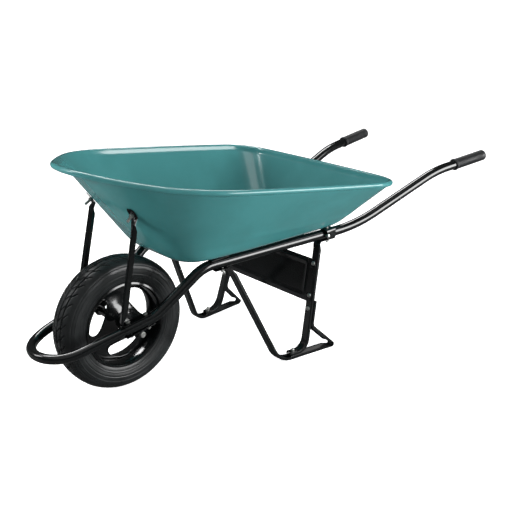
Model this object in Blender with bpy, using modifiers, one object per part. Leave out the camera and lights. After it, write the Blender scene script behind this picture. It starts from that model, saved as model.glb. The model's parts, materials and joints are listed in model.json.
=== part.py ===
"""Wheelbarrow with a pressed steel tray, tubular handles and a pneumatic wheel.

Metres, +Z up, ground at z = 0. +X runs from the wheel towards the handles, and the
operator's left is -Y. Shapes are laid out with x measured back from the axle, and
every object stands at AXLE_X, so that the whole is centred on the origin.
Each paired piece is shaped on the right (+Y) and mirrored to the left.
"""

import math

import bmesh
import bpy
from mathutils import Matrix, Vector
from mathutils.bvhtree import BVHTree

# Where the axle stands along the object, and the clearance between neighbouring pieces
AXLE_X = -0.4992
GAP = 0.0003

# Wheel, a 3.50-8 tyre on a pressed disc wheel
TYRE_RADIUS = 0.183
WHEEL_Z = TYRE_RADIUS
WHEEL_STEPS = 48
WINDOW_RADII = (0.0525, 0.1025)
WINDOW_HALF_ANGLE = math.radians(38)
WINDOW_ANGLES = (37, 157, 277)
AXLE_RADIUS = 0.008
AXLE_HALF_LENGTH = 0.1165

# Handle tubes, 28.6 mm across, and the bumper tube, 25.4 mm across, that plugs into them
TUBE_RADIUS = 0.0143
BUMPER_RADIUS = 0.0127
TUBE_AXLE_Y = 0.1093
TUBE_SPREAD = 0.1165
TUBE_PATH = ((-0.047, 0.2036), (0.0415, 0.2232), (0.185, 0.3262), (0.710, 0.3482), (1.032, 0.468), (1.2476, 0.4926))
TUBE_BENDS = (0.10, 0.10, 0.50, 0.40)
GRIP_START_X = 1.117
GRIP_LENGTH = 0.1374
GRIP_RADIUS = 0.0163

# Tray, pressed from one sheet with a rolled rim
SHEET = 0.0018
RIM_Z = 0.5875
RIM_FALL = 0.119
ROLL_RADIUS = 0.0055
FLOOR_Z = 0.3445
FLOOR_RISE = 0.0433
# Half of the tray's plan, from the middle of the front to the middle of the rear. Each entry gives
# the rolled rim's centre (x, y), the floor's edge (x, y), and how much of the front lip is there.
TRAY_PLAN = (
    ((-0.1290, 0.000), (0.117, 0.000), 1.00),
    ((-0.1210, 0.054), (0.118, 0.048), 0.95),
    ((-0.0980, 0.103), (0.122, 0.090), 0.70),
    ((-0.0660, 0.152), (0.132, 0.120), 0.40),
    ((-0.0290, 0.202), (0.150, 0.141), 0.18),
    ((0.0150, 0.249), (0.177, 0.153), 0.06),
    ((0.0680, 0.283), (0.215, 0.160), 0.02),
    ((0.1450, 0.308), (0.265, 0.166), 0.00),
    ((0.2500, 0.320), (0.335, 0.175), 0.00),
    ((0.3700, 0.329), (0.415, 0.182), 0.00),
    ((0.5000, 0.336), (0.500, 0.188), 0.00),
    ((0.6050, 0.339), (0.575, 0.192), 0.00),
    ((0.6650, 0.3365), (0.615, 0.190), 0.00),
    ((0.7060, 0.317), (0.644, 0.175), 0.00),
    ((0.7290, 0.280), (0.658, 0.148), 0.00),
    ((0.7385, 0.230), (0.662, 0.112), 0.00),
    ((0.7430, 0.130), (0.663, 0.060), 0.00),
    ((0.7450, 0.000), (0.663, 0.000), 0.00),
)
LIP_REACH = 0.040
LIP_RISE = 0.0115

# Legs: two pressed channels a side, splayed outwards
CHANNEL_WIDTH = 0.0255
CHANNEL_DEPTH = 0.010
STEEL = 0.002
FLAT = 0.0026
LEG_SPLAY = 0.117
LEG_TOP_Z = 0.3294
LEG_RAKE = 0.245
LEG_X = 0.5507
LEG_Z = 0.27
PANEL_Z = (0.153, 0.275)
PANEL_BOLTS_Z = (0.1715, 0.2625)
JUNCTION_Z = 0.133
FOOT_BOLT_X = 0.4505
SKID_END_X = 0.609

# Fasteners
FRONT_BOLT_X = 0.243
REAR_BOLT_X = 0.602
SIDE_BOLT_X = 0.585
BRACKET_BOLTS_X = (-0.033, 0.016)
BOLT_RADIUS = 0.0038

COLOURS = {
    "tray_enamel": ((0.072, 0.285, 0.295), 0.32, 0.0),
    "frame_enamel": ((0.012, 0.013, 0.013), 0.28, 0.0),
    "tyre_rubber": ((0.018, 0.018, 0.018), 0.62, 0.0),
    "zinc": ((0.62, 0.63, 0.62), 0.34, 1.0),
    "grip_plastic": ((0.017, 0.018, 0.019), 0.55, 0.0),
}

UP = Vector((0, 0, 1))
BACK = Vector((1, 0, 0))
RIGHT = Vector((0, 1, 0))
MIRROR = Matrix.Scale(-1, 4, RIGHT)
STAND = Vector((AXLE_X, 0, 0))


# ---------------------------------------------------------------- objects


def clear_scene():
    for obj in list(bpy.data.objects):
        bpy.data.objects.remove(obj, do_unlink=True)


def new_collection(name):
    collection = bpy.data.collections.new(name)
    bpy.context.scene.collection.children.link(collection)
    return collection


def new_materials():
    for name, (colour, roughness, metallic) in COLOURS.items():
        material = bpy.data.materials.new(name)
        material.use_nodes = True
        shader = material.node_tree.nodes["Principled BSDF"]
        shader.inputs["Base Color"].default_value = (*colour, 1)
        shader.inputs["Roughness"].default_value = roughness
        shader.inputs["Metallic"].default_value = metallic
        material.diffuse_color = (*colour, 1)


def placed(name, mesh, material, at=STAND):
    """A piece of the object, made from a mesh, standing at a point."""
    obj = bpy.data.objects.new(name, mesh)
    obj.location = at
    PIECES.objects.link(obj)
    mesh.materials.clear()
    mesh.materials.append(bpy.data.materials[material])
    mesh.shade_smooth()
    mesh.set_sharp_from_angle(angle=math.radians(35))
    return obj


def cutter(name, mesh):
    obj = bpy.data.objects.new(name, mesh)
    obj.location = STAND
    obj.display_type = "WIRE"
    obj.hide_render = True
    CUTTERS.objects.link(obj)
    return obj


def evaluated_mesh(obj):
    graph = bpy.context.evaluated_depsgraph_get()
    return bpy.data.meshes.new_from_object(obj.evaluated_get(graph), depsgraph=graph)


def mirrored(source, name):
    """The same piece on the operator's left."""
    mesh = evaluated_mesh(source)
    mesh.transform(MIRROR)
    mesh.flip_normals()
    return placed(name, mesh, source.data.materials[0].name, source.location)


def both(source):
    return source, mirrored(source, source.name.replace("right", "left"))


def boolean(obj, others, operation="DIFFERENCE"):
    for other in others:
        change = obj.modifiers.new(other.name, "BOOLEAN")
        change.operation = operation
        change.solver = "EXACT"
        change.object = other


# ---------------------------------------------------------------- shapes


def loft(rings):
    """A closed solid through rings of equal count, capped at both ends."""
    bm = bmesh.new()
    rows = [[bm.verts.new(point) for point in ring] for ring in rings]
    count = len(rows[0])
    for row, after in zip(rows, rows[1:]):
        for i in range(count):
            j = (i + 1) % count
            bm.faces.new((row[i], row[j], after[j], after[i]))
    bm.faces.new(rows[0])
    bm.faces.new(rows[-1])
    bmesh.ops.recalc_face_normals(bm, faces=bm.faces)
    mesh = bpy.data.meshes.new("loft")
    bm.to_mesh(mesh)
    bm.free()
    return mesh


def slab(outline, thickness):
    """A flat plate: an outline of points, pushed along a vector."""
    return loft([outline, [point + thickness for point in outline]])


def lathe(name, profile, material, at, steps=48, axis=RIGHT, closed=True):
    """A turned piece. The profile holds (radius, distance along the axis)."""
    count = len(profile)
    edges = [(i, i + 1) for i in range(count - 1)]
    if closed:
        edges.append((count - 1, 0))
    mesh = bpy.data.meshes.new(name)
    mesh.from_pydata([(radius, 0, along) for radius, along in profile], edges, [])
    obj = placed(name, mesh, material, at)
    obj.rotation_euler = UP.rotation_difference(axis).to_euler()
    turn = obj.modifiers.new("Turn", "SCREW")
    turn.steps = steps
    turn.render_steps = steps
    turn.use_merge_vertices = True
    turn.merge_threshold = 0.00001
    turn.use_smooth_shade = True
    return obj


def rounded(points, radii, steps=5):
    """A polyline with its corners rounded to the given radii."""
    path = [Vector(points[0])]
    for before, corner, after, radius in zip(points, points[1:], points[2:], radii):
        corner = Vector(corner)
        first = (Vector(before) - corner).normalized()
        second = (Vector(after) - corner).normalized()
        half = first.angle(second) / 2
        centre = corner + (first + second).normalized() * (radius / math.sin(half))
        reach = radius / math.tan(half)
        start = corner + first * reach - centre
        end = corner + second * reach - centre
        sweep = start.angle(end)
        for i in range(steps + 1):
            share = i / steps
            one = math.sin((1 - share) * sweep) / math.sin(sweep)
            two = math.sin(share * sweep) / math.sin(sweep)
            path.append(centre + start * one + end * two)
    path.append(Vector(points[-1]))
    return path


def smooth(points, steps=4):
    """A smooth curve through every point."""
    points = [Vector(point) for point in points]
    points = [2 * points[0] - points[1], *points, 2 * points[-1] - points[-2]]
    path = []
    for a, b, c, d in zip(points, points[1:], points[2:], points[3:]):
        for i in range(steps):
            t = i / steps
            bend = 2 * a - 5 * b + 4 * c - d
            twist = -a + 3 * b - 3 * c + d
            path.append(b + ((c - a) * t + bend * t**2 + twist * t**3) / 2)
    return [*path, points[-2]]


def tube_mesh(path, radius, sides=12):
    """A round bar along a path, with flat ends."""
    curve = bpy.data.curves.new("tube", "CURVE")
    curve.dimensions = "3D"
    curve.bevel_depth = radius
    curve.bevel_resolution = (sides - 4) // 2
    curve.use_fill_caps = True
    spline = curve.splines.new("POLY")
    spline.points.add(len(path) - 1)
    for spline_point, point in zip(spline.points, path):
        spline_point.co = (*point, 1)
    obj = bpy.data.objects.new("tube", curve)
    CUTTERS.objects.link(obj)
    mesh = evaluated_mesh(obj)
    bpy.data.objects.remove(obj)
    bm = bmesh.new()
    bm.from_mesh(mesh)
    bmesh.ops.remove_doubles(bm, verts=bm.verts, dist=0.00001)
    bm.to_mesh(mesh)
    bm.free()
    return mesh


def channel_mesh(stations):
    """A bent channel. Each station gives the middle of the web's outer face, the way that
    face looks, the web's width and the flanges' depth. A flattened end has a depth of FLAT."""
    points = [station[0] for station in stations]
    rings = []
    for i, (point, outward, width, depth) in enumerate(stations):
        ahead = points[min(i + 1, len(points) - 1)]
        behind = points[max(i - 1, 0)]
        along = (ahead - behind).normalized()
        outward = (outward - along * outward.dot(along)).normalized()
        across = along.cross(outward)
        half = width / 2
        corner = min(0.0025, depth * 0.5)
        section = (
            (-half, depth),
            (-half, corner),
            (corner - half, 0),
            (half - corner, 0),
            (half, corner),
            (half, depth),
            (half - STEEL, depth),
            (half - STEEL, STEEL),
            (STEEL - half, STEEL),
            (STEEL - half, depth),
        )
        rings.append([point + across * a - outward * b for a, b in section])
    return loft(rings)


def strap_mesh(path, width, thickness, outward):
    """A flat bar bent along a path, as wide as width along BACK."""
    rings = []
    for i, point in enumerate(path):
        along = (path[min(i + 1, len(path) - 1)] - path[max(i - 1, 0)]).normalized()
        out = along.cross(BACK).normalized() * outward
        rings.append(
            [
                point - BACK * (width / 2),
                point + BACK * (width / 2),
                point + BACK * (width / 2) + out * thickness,
                point - BACK * (width / 2) + out * thickness,
            ]
        )
    return loft(rings)


def fastener_mesh(point, axis, rings):
    """A bolt with its nut. Each ring gives the distance along the axis from the point, the
    radius, and whether the outline is a hexagon."""
    axis = axis.normalized()
    side = axis.orthogonal().normalized()
    other = axis.cross(side)
    rows = []
    for distance, radius, hexagon in rings:
        row = []
        for i in range(12):
            reach = radius * (math.cos(math.pi / 6) if hexagon and i % 2 else 1)
            angle = math.pi * i / 6
            spoke = side * math.cos(angle) + other * math.sin(angle)
            row.append(point + axis * distance + spoke * reach)
        rows.append(row)
    return loft(rows)


def bolt_rings(head, nut, tail, radius=BOLT_RADIUS, dome=False):
    """A bolt whose head stands on the level head and whose nut starts at the level nut, both
    measured along the axis, with its threaded end at tail."""
    size = radius * 1.75
    top = head - radius * 1.25
    sign = 1 if nut > head else -1
    if sign < 0:
        top = head + radius * 1.25
    if dome:
        cap = [(head + (top - head) * 0.85, size * 0.7, False), (head, size * 1.12, False)]
    else:
        cap = [(top, size, True), (head, size, True)]
    thick = sign * radius * 1.5
    return [
        *cap,
        (head, radius, False),
        (nut, radius, False),
        (nut, size, True),
        (nut + thick, size, True),
        (nut + thick, radius * 0.96, False),
        (tail, radius * 0.85, False),
    ]


def hole(name, point, axis, radius=BOLT_RADIUS, reach=0.06, wide=None):
    """A pair of cutters, right and left. With wide, the hole opens to that radius at its start."""
    axis = axis.normalized()
    levels = [(-reach, radius + 0.0005, False), (reach, radius + 0.0005, False)]
    if wide is not None:
        levels = wide
    mesh = fastener_mesh(point, axis, levels)
    right = cutter(name + "_right", mesh)
    other = mesh.copy()
    other.transform(MIRROR)
    other.flip_normals()
    left = cutter(name + "_left", other)
    return right, left


# ---------------------------------------------------------------- layout


def tube_y(x):
    """How far out the handle tube's centre line runs at x."""
    return TUBE_AXLE_Y + TUBE_SPREAD * x


def tube_line():
    """The handle tube's centre line, as a list of points."""
    corners = [Vector((x, tube_y(x), z)) for x, z in TUBE_PATH]
    return rounded(corners, TUBE_BENDS)


def tube_at(x):
    """The handle tube's centre and direction at x, and the way square to it in its upright plane."""
    line = tube_line()
    for a, b in zip(line, line[1:]):
        if a.x <= x <= b.x and b.x > a.x:
            along = (b - a).normalized()
            point = a.lerp(b, (x - a.x) / (b.x - a.x))
            normal = (UP - along * along.z).normalized()
            return point, along, normal
    raise ValueError("no tube there")


def leg_point(x, z):
    """A point in the splayed upright plane that holds the leg's channels."""
    return Vector((x, tube_y(x) + LEG_SPLAY * (LEG_TOP_Z - z), z))


def leg_x(z):
    """Where the rear leg's front face runs at height z."""
    return LEG_X - LEG_RAKE * (LEG_Z - z)


LEG_FRONT = Vector((-1, 0, LEG_RAKE)).normalized()


# ---------------------------------------------------------------- tray


def tray_columns():
    """The tray's outer face in upright strips, each from the edge of the flat floor up the wall
    and round the rolled rim, going once round the tray."""
    rim = smooth([(*spot, lip) for spot, _, lip in TRAY_PLAN], 2)
    floor = smooth([(*spot, 0) for _, spot, _ in TRAY_PLAN], 2)
    half = []
    for i, (top, edge) in enumerate(zip(rim, floor)):
        ahead = rim[i + 1] if i + 1 < len(rim) else MIRROR @ rim[i - 1]
        behind = rim[i - 1] if i else MIRROR @ rim[1]
        along = Vector((ahead.x - behind.x, ahead.y - behind.y, 0)).normalized()
        half.append(tray_column(top, edge, Vector((-along.y, along.x, 0))))
    left = [[MIRROR @ point for point in column] for column in reversed(half[1:-1])]
    return half + left


def tray_column(top, edge, out):
    lip = max(0.0, top.z)
    rim = Vector((top.x, top.y, RIM_Z - RIM_FALL * top.x + LIP_RISE * lip))
    edge = Vector((edge.x, edge.y, FLOOR_Z + FLOOR_RISE * (edge.x - 0.19)))
    middle = sum(TRAY_PLAN[i][1][0] for i in (0, -1)) / 2
    inward = Vector((middle + 0.6 * (edge.x - middle), 0, 0))
    inward.z = FLOOR_Z + FLOOR_RISE * (inward.x - 0.19)
    shoulder = rim - out * (LIP_REACH * lip + 0.006) - UP * (0.010 + 0.014 * lip)
    to_floor = (inward - edge).normalized()
    to_wall = (shoulder - edge).normalized()
    setback = 0.024 + 0.010 * abs(out.x)
    column = []
    for i in range(5):
        t = i / 4
        start = edge + to_floor * setback
        end = edge + to_wall * (setback + 0.012)
        column.append(start * (1 - t) ** 2 + edge * (2 * t * (1 - t)) + end * t**2)
    column.append(edge.lerp(shoulder, 0.6))
    column.append(shoulder)
    rise = (rim - shoulder).normalized()
    outward = (out - rise * out.dot(rise)).normalized()
    if lip > 0.5:
        outward = (outward - UP * 0.2).normalized()
    for degrees in (0, 50, 100, 150, 200, 245):
        turn = math.radians(degrees)
        column.append(rim - outward * (ROLL_RADIUS * math.cos(turn)) + rise * (ROLL_RADIUS * math.sin(turn)))
    return column


def make_tray():
    columns = tray_columns()
    count = len(columns)
    bm = bmesh.new()
    grid = [[bm.verts.new(point) for point in column] for column in columns]
    x = sum(TRAY_PLAN[i][1][0] for i in (0, -1)) / 2
    middle = bm.verts.new((x, 0, FLOOR_Z + FLOOR_RISE * (x - 0.19)))
    for i, column in enumerate(grid):
        after = grid[(i + 1) % count]
        bm.faces.new((column[0], middle, after[0]))
        for j in range(len(column) - 1):
            bm.faces.new((column[j], after[j], after[j + 1], column[j + 1]))
    bmesh.ops.recalc_face_normals(bm, faces=bm.faces)
    bm.normal_update()
    if middle.link_faces[0].normal.z > 0:
        bmesh.ops.reverse_faces(bm, faces=bm.faces)
    mesh = bpy.data.meshes.new("tray")
    bm.to_mesh(mesh)
    bm.free()
    tray = placed("tray", mesh, "tray_enamel")
    sheet = tray.modifiers.new("Sheet", "SOLIDIFY")
    sheet.thickness = SHEET
    sheet.offset = -1
    sheet.use_even_offset = True
    return tray


def tray_surface(tray):
    """A way to find where a line from outside meets the tray, and the way its face looks there."""
    mesh = evaluated_mesh(tray)
    bm = bmesh.new()
    bm.from_mesh(mesh)
    tree = BVHTree.FromBMesh(bm)
    bm.free()

    def meet(start, direction):
        point, normal, _, _ = tree.ray_cast(start, direction)
        if point is None:
            raise ValueError("the line misses the tray")
        return point, normal

    return meet


# ---------------------------------------------------------------- wheel


def make_wheel():
    centre = STAND + Vector((0, 0, WHEEL_Z))
    crown = (
        (0.1180, 0.0353),
        (0.1290, 0.0402),
        (0.1430, 0.0434),
        (0.1580, 0.0428),
        (0.1700, 0.0378),
        (0.1770, 0.0300),
        (0.1815, 0.0180),
        (0.1830, 0.0050),
    )
    lining = ((0.1755, 0.0120), (0.1650, 0.0300), (0.1450, 0.0360), (0.1250, 0.0290), (0.1115, 0.0270))
    outer = [(r, y) for r, y in crown] + [(r, -y) for r, y in reversed(crown)]
    beads = [(0.1115, -0.0340), *[(r, -y) for r, y in reversed(lining)]]
    inner = [*lining, (0.1115, 0.0340)]
    lathe("tyre", outer + beads + inner, "tyre_rubber", centre, WHEEL_STEPS)

    half = (
        (0.1175, 0.0375),
        (0.1171, 0.0356),
        (0.1112, 0.0343),
        (0.1108, 0.0250),
        (0.1085, 0.0200),
        (0.1085, -0.0200),
        (0.1108, -0.0250),
        (0.1112, -0.0343),
        (0.1171, -0.0356),
        (0.1175, -0.0375),
        (0.1100, -0.0365),
        (0.1063, -0.0205),
        (0.1063, 0.0205),
        (0.1100, 0.0365),
    )
    lathe("wheel_rim", half, "frame_enamel", centre, WHEEL_STEPS)

    web = (
        (0.1060, 0.0120),
        (0.1060, 0.0005),
        (0.1030, -0.0025),
        (0.0800, -0.0025),
        (0.0500, -0.0085),
        (0.0300, -0.0170),
        (0.0180, -0.0190),
        (0.0180, -0.0165),
        (0.0295, -0.0145),
        (0.0495, -0.0060),
        (0.0800, 0.0000),
        (0.1015, 0.0000),
        (0.1035, 0.0020),
        (0.1035, 0.0120),
    )
    disc = lathe("wheel_disc", web, "frame_enamel", centre, WHEEL_STEPS)
    windows = []
    for degrees in WINDOW_ANGLES:
        outline = []
        for i in range(24):
            turn = 2 * math.pi * i / 24
            angle = math.radians(degrees) + WINDOW_HALF_ANGLE * math.cos(turn)
            low, high = WINDOW_RADII
            radius = (low + high) / 2 + (high - low) / 2 * math.sin(turn)
            spot = Vector((radius * math.cos(angle), -0.05, WHEEL_Z + radius * math.sin(angle)))
            outline.append(spot)
        windows.append(cutter(f"window_{degrees}", slab(outline, RIGHT * 0.1)))
    boolean(disc, windows)

    tube = [(0.0177, 0.032), (0.0177, -0.032), (0.0125, -0.032), (0.0125, 0.032)]
    lathe("wheel_hub", tube, "frame_enamel", centre, 24)
    bore = AXLE_RADIUS / math.cos(math.pi / 24) + 0.00006
    for side, sign in (("right", 1), ("left", -1)):
        ring = [
            (0.0165, 0.0353),
            (0.0165, 0.0323),
            (0.0122, 0.0323),
            (0.0122, 0.0220),
            (bore, 0.0220),
            (bore, 0.0353),
        ]
        if sign < 0:
            ring = [(r, -y) for r, y in reversed(ring)]
        lathe(f"bearing_{side}", ring, "zinc", centre, 24)
    return centre


def make_axle(centre):
    end = AXLE_HALF_LENGTH
    bar = [
        (0, end),
        (AXLE_RADIUS - 0.0012, end),
        (AXLE_RADIUS, end - 0.0012),
        (AXLE_RADIUS, 0.0012 - end),
        (AXLE_RADIUS - 0.0012, -end),
        (0, -end),
    ]
    lathe("axle", bar, "zinc", centre, 24, closed=False)
    bore = AXLE_RADIUS / math.cos(math.pi / 24) + GAP
    for side, sign in (("right", 1), ("left", -1)):
        sleeve = [(0.0112, 0.0949), (0.0112, 0.0358), (bore, 0.0358), (bore, 0.0949)]
        if sign < 0:
            sleeve = [(r, -y) for r, y in reversed(sleeve)]
        lathe(f"axle_spacer_{side}", sleeve, "frame_enamel", centre, 24)
    nut_bore = hole("axle_nut_bore", Vector((0, 0.10, WHEEL_Z)), RIGHT, AXLE_RADIUS)
    rings = [(0, 0.0122, True), (0.0065, 0.0122, True), (0.0074, 0.0112, True)]
    right = placed("axle_nut_right", fastener_mesh(Vector((0, 0.0988, WHEEL_Z)), RIGHT, rings), "frame_enamel")
    boolean(right, nut_bore[:1])
    mirrored(right, "axle_nut_left")


# ---------------------------------------------------------------- frame


def make_frame(meet):
    """The tubes, the braces, the brackets and the cross members. Returns those of the right
    that the legs and the bolts meet."""
    start, along, normal = tube_at(-0.04)
    tube = placed("handle_tube_right", tube_mesh(tube_line(), TUBE_RADIUS), "frame_enamel")

    # The bumper tube: a loop in front of the wheel whose ends plug into the handle tubes
    plug = tube_at(-0.010)[0]
    shoulder = start - along * 0.1075
    half = [
        shoulder,
        Vector((-0.171, 0.0880, 0.1750)),
        Vector((-0.1955, 0.0785, 0.1695)),
        Vector((-0.2160, 0.0640, 0.1662)),
        Vector((-0.2325, 0.0430, 0.1645)),
        Vector((-0.2405, 0.0220, 0.1638)),
        Vector((-0.2435, 0.0, 0.1635)),
    ]
    loop = smooth(half + [MIRROR @ point for point in reversed(half[:-1])], 2)
    path = [plug, start, *loop, MIRROR @ start, MIRROR @ plug]
    bumper = placed("bumper_tube", tube_mesh(path, BUMPER_RADIUS), "frame_enamel")
    mouth = start - along * 0.03
    depth = (plug - mouth).length + 0.004
    wide = BUMPER_RADIUS + 0.0007
    socket = [(0, wide, False), (depth, wide, False)]
    sockets = hole("bumper_socket", mouth, along, wide=socket)
    boolean(tube, sockets[:1])

    # Axle bracket: a flange under the tube and an ear that carries the axle's end
    low = -TUBE_RADIUS - GAP
    rest = start + normal * low
    flange = []
    for x, y in ((-0.047, 0.0955), (0.036, 0.0955), (0.036, 0.1205), (-0.047, 0.1170)):
        flange.append(Vector((x, y, rest.z + (x - rest.x) * along.z / along.x)))
    bracket = placed("axle_bracket_right", slab(flange, -UP * 0.003), "frame_enamel")
    ear = []
    for x in (-0.047, 0.036):
        z = rest.z + (x - rest.x) * along.z / along.x
        ear.append(Vector((x, 0.0955, z - 0.0012)))
    for degrees in (20, -10, -50, -90, -130, -170, -200):
        turn = math.radians(degrees)
        ear.append(Vector((0.0165 * math.cos(turn), 0.0955, WHEEL_Z + 0.0165 * math.sin(turn))))
    boolean(bracket, [cutter("bracket_ear", slab(ear, RIGHT * 0.003))], "UNION")
    boolean(bracket, hole("axle_hole", Vector((0, 0.10, WHEEL_Z)), RIGHT, AXLE_RADIUS, 0.02)[:1])

    # Tray brace: a channel from the tube's top up to the tray's sloping front
    top = TUBE_RADIUS + GAP
    foot = [tube_at(x) for x in (0.030, 0.005, -0.020, -0.036)]
    stations = [(point + n * top, -n, 0.022, FLAT) for point, _, n in foot]
    face, look = meet(Vector((-0.4, 0.0965, 0.5014)), BACK)
    slope = (UP - look * look.z).normalized()
    skin = face + look * (GAP + FLAT + 0.0009)
    knee = Vector((-0.0061, 0.1000, 0.4700))
    base = Vector((-0.0595, 0.1065, 0.2300))
    upright = (knee - base).normalized()
    forward = Vector((-1, -0.34, 0))
    step = stations[-1][0] + Vector((-0.0150, -0.0010, -0.0012))
    stations += [
        (step, Vector((-0.45, 0, -0.9)), 0.022, FLAT),
        (base, forward, 0.020, 0.0034),
        (base + upright * 0.022, forward, 0.0155, 0.0140),
        (base.lerp(knee, 0.5), forward, 0.0155, 0.0135),
        (knee - upright * 0.010, forward, 0.0158, 0.0125),
        (knee + upright * 0.006, (forward.normalized() + look).normalized(), 0.0190, 0.0040),
        (skin - slope * 0.010, look, 0.0215, FLAT),
        (skin, look, 0.0215, FLAT),
        (skin + slope * 0.014, look, 0.0205, FLAT),
        (skin + slope * 0.020, look, 0.0130, FLAT),
    ]
    brace = placed("tray_brace_right", channel_mesh(stations), "frame_enamel")

    brace_hole = hole("brace_hole", face, look)
    boolean(brace, brace_hole[:1])
    boolean(bpy.data.objects["tray"], brace_hole)
    rings = bolt_rings(-SHEET - 0.0012, GAP * 2 + FLAT + 0.0009, 0.026, dome=True)
    both(placed("brace_bolt_right", fastener_mesh(face, look, rings), "zinc"))

    for spot, x in zip(("front", "rear"), BRACKET_BOLTS_X):
        point, _, n = tube_at(x)
        bore = hole(f"bracket_hole_{spot}", point, n, 0.0034)
        for piece in (tube, brace, bracket):
            boolean(piece, bore[:1])
        if spot == "front":
            boolean(bumper, bore)
        head = top + FLAT + GAP + 0.0002
        nut = low - 0.003 / n.z - GAP
        rings = bolt_rings(head, nut, nut - 0.008, 0.0034)
        both(placed(f"bracket_bolt_{spot}_right", fastener_mesh(point, n, rings), "zinc"))

    # Cross members: flat bars across the tubes, under the tray
    for spot, x, width in (("front", FRONT_BOLT_X - 0.012, 0.058), ("rear", REAR_BOLT_X - 0.004, 0.034)):
        point, _, n = tube_at(x)
        level = point + n * (TUBE_RADIUS + GAP)
        end = Vector((x, point.y + 0.013, level.z))
        path = [MIRROR @ end, end]
        if spot == "rear":
            reach = point.y + TUBE_RADIUS + 0.0052
            corner = Vector((x, reach, level.z))
            drop = Vector((x, reach, level.z - 0.024))
            path = rounded([MIRROR @ drop, MIRROR @ corner, corner, drop], (0.003, 0.003), 2)
        bar = placed(f"cross_member_{spot}", strap_mesh(path, width, 0.0028, -1), "frame_enamel")
        tilt = Matrix.Rotation(-math.atan(FLOOR_RISE), 4, "Y")
        bar.data.transform(Matrix.Translation(level) @ tilt @ Matrix.Translation(-level))
    return tube, bumper, bracket, brace


def make_tray_bolts(tube, meet, legs):
    """The four bolts that hold the tray, the cross members, the tubes and the legs together."""
    tray = bpy.data.objects["tray"]
    for spot, x, leg in (("front", FRONT_BOLT_X, legs["strut"]), ("rear", REAR_BOLT_X, legs["leg"])):
        point, _, n = tube_at(x)
        bore = hole(f"tray_hole_{spot}", point, n)
        boolean(tray, bore)
        boolean(bpy.data.objects[f"cross_member_{spot}"], bore)
        for piece in (tube, leg):
            boolean(piece, bore[:1])
        head = 0.0
        for turn in range(8):
            angle = math.pi * turn / 4
            rim = point + Vector((math.cos(angle), math.sin(angle), 0)) * BOLT_RADIUS * 2.1
            above, _ = meet(rim + UP * 0.08, -UP)
            head = max(head, (above - point).dot(n))
        nut = -TUBE_RADIUS - 3 * GAP - FLAT
        rings = bolt_rings(head + GAP, nut, nut - 0.0105, dome=True)
        both(placed(f"tray_bolt_{spot}_right", fastener_mesh(point, n, rings), "zinc"))

    # Round-headed bolt through the side of the tube and the rear cross member's bent end
    point, _, n = tube_at(SIDE_BOLT_X)
    bore = hole("side_hole", point, RIGHT, 0.0034, 0.03)
    boolean(tube, bore[:1])
    boolean(bpy.data.objects["cross_member_rear"], bore)
    outer = tube_at(REAR_BOLT_X - 0.004)[0].y + TUBE_RADIUS + 0.0052 + 0.0028 - point.y
    rings = bolt_rings(outer + GAP, -TUBE_RADIUS - 0.0012, -TUBE_RADIUS - 0.010, 0.0034, dome=True)
    both(placed("side_bolt_right", fastener_mesh(point, RIGHT, rings), "zinc"))


def make_grips():
    """Closed rubber sleeves on the ends of the handles."""
    line = tube_line()
    along = (line[-1] - line[-2]).normalized()
    tail = line[-1]
    start = tail - along * ((tail.x - GRIP_START_X) / along.x)
    bore = TUBE_RADIUS + 0.0004
    profile = [
        (0, GRIP_LENGTH),
        (0.0120, GRIP_LENGTH),
        (GRIP_RADIUS - 0.0004, GRIP_LENGTH - 0.002),
        (GRIP_RADIUS + 0.0012, GRIP_LENGTH - 0.008),
        (GRIP_RADIUS + 0.0002, GRIP_LENGTH - 0.030),
        (GRIP_RADIUS + 0.0004, 0.0080),
        (0.0188, 0.0050),
        (0.0188, 0.0015),
        (0.0180, 0),
        (bore, 0),
        (bore, GRIP_LENGTH - 0.0035),
        (0, GRIP_LENGTH - 0.0035),
    ]
    for side, mirror in (("right", Matrix.Identity(4)), ("left", MIRROR)):
        lathe(f"grip_{side}", profile, "grip_plastic", STAND + mirror @ start, 24, mirror @ along, False)


# ---------------------------------------------------------------- legs


def strip(corners, bends, steps=4):
    """Points along a bent strip, given as (x, z) corners in the leg's plane."""
    return rounded([leg_point(x, z) for x, z in corners], bends, steps)


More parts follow.
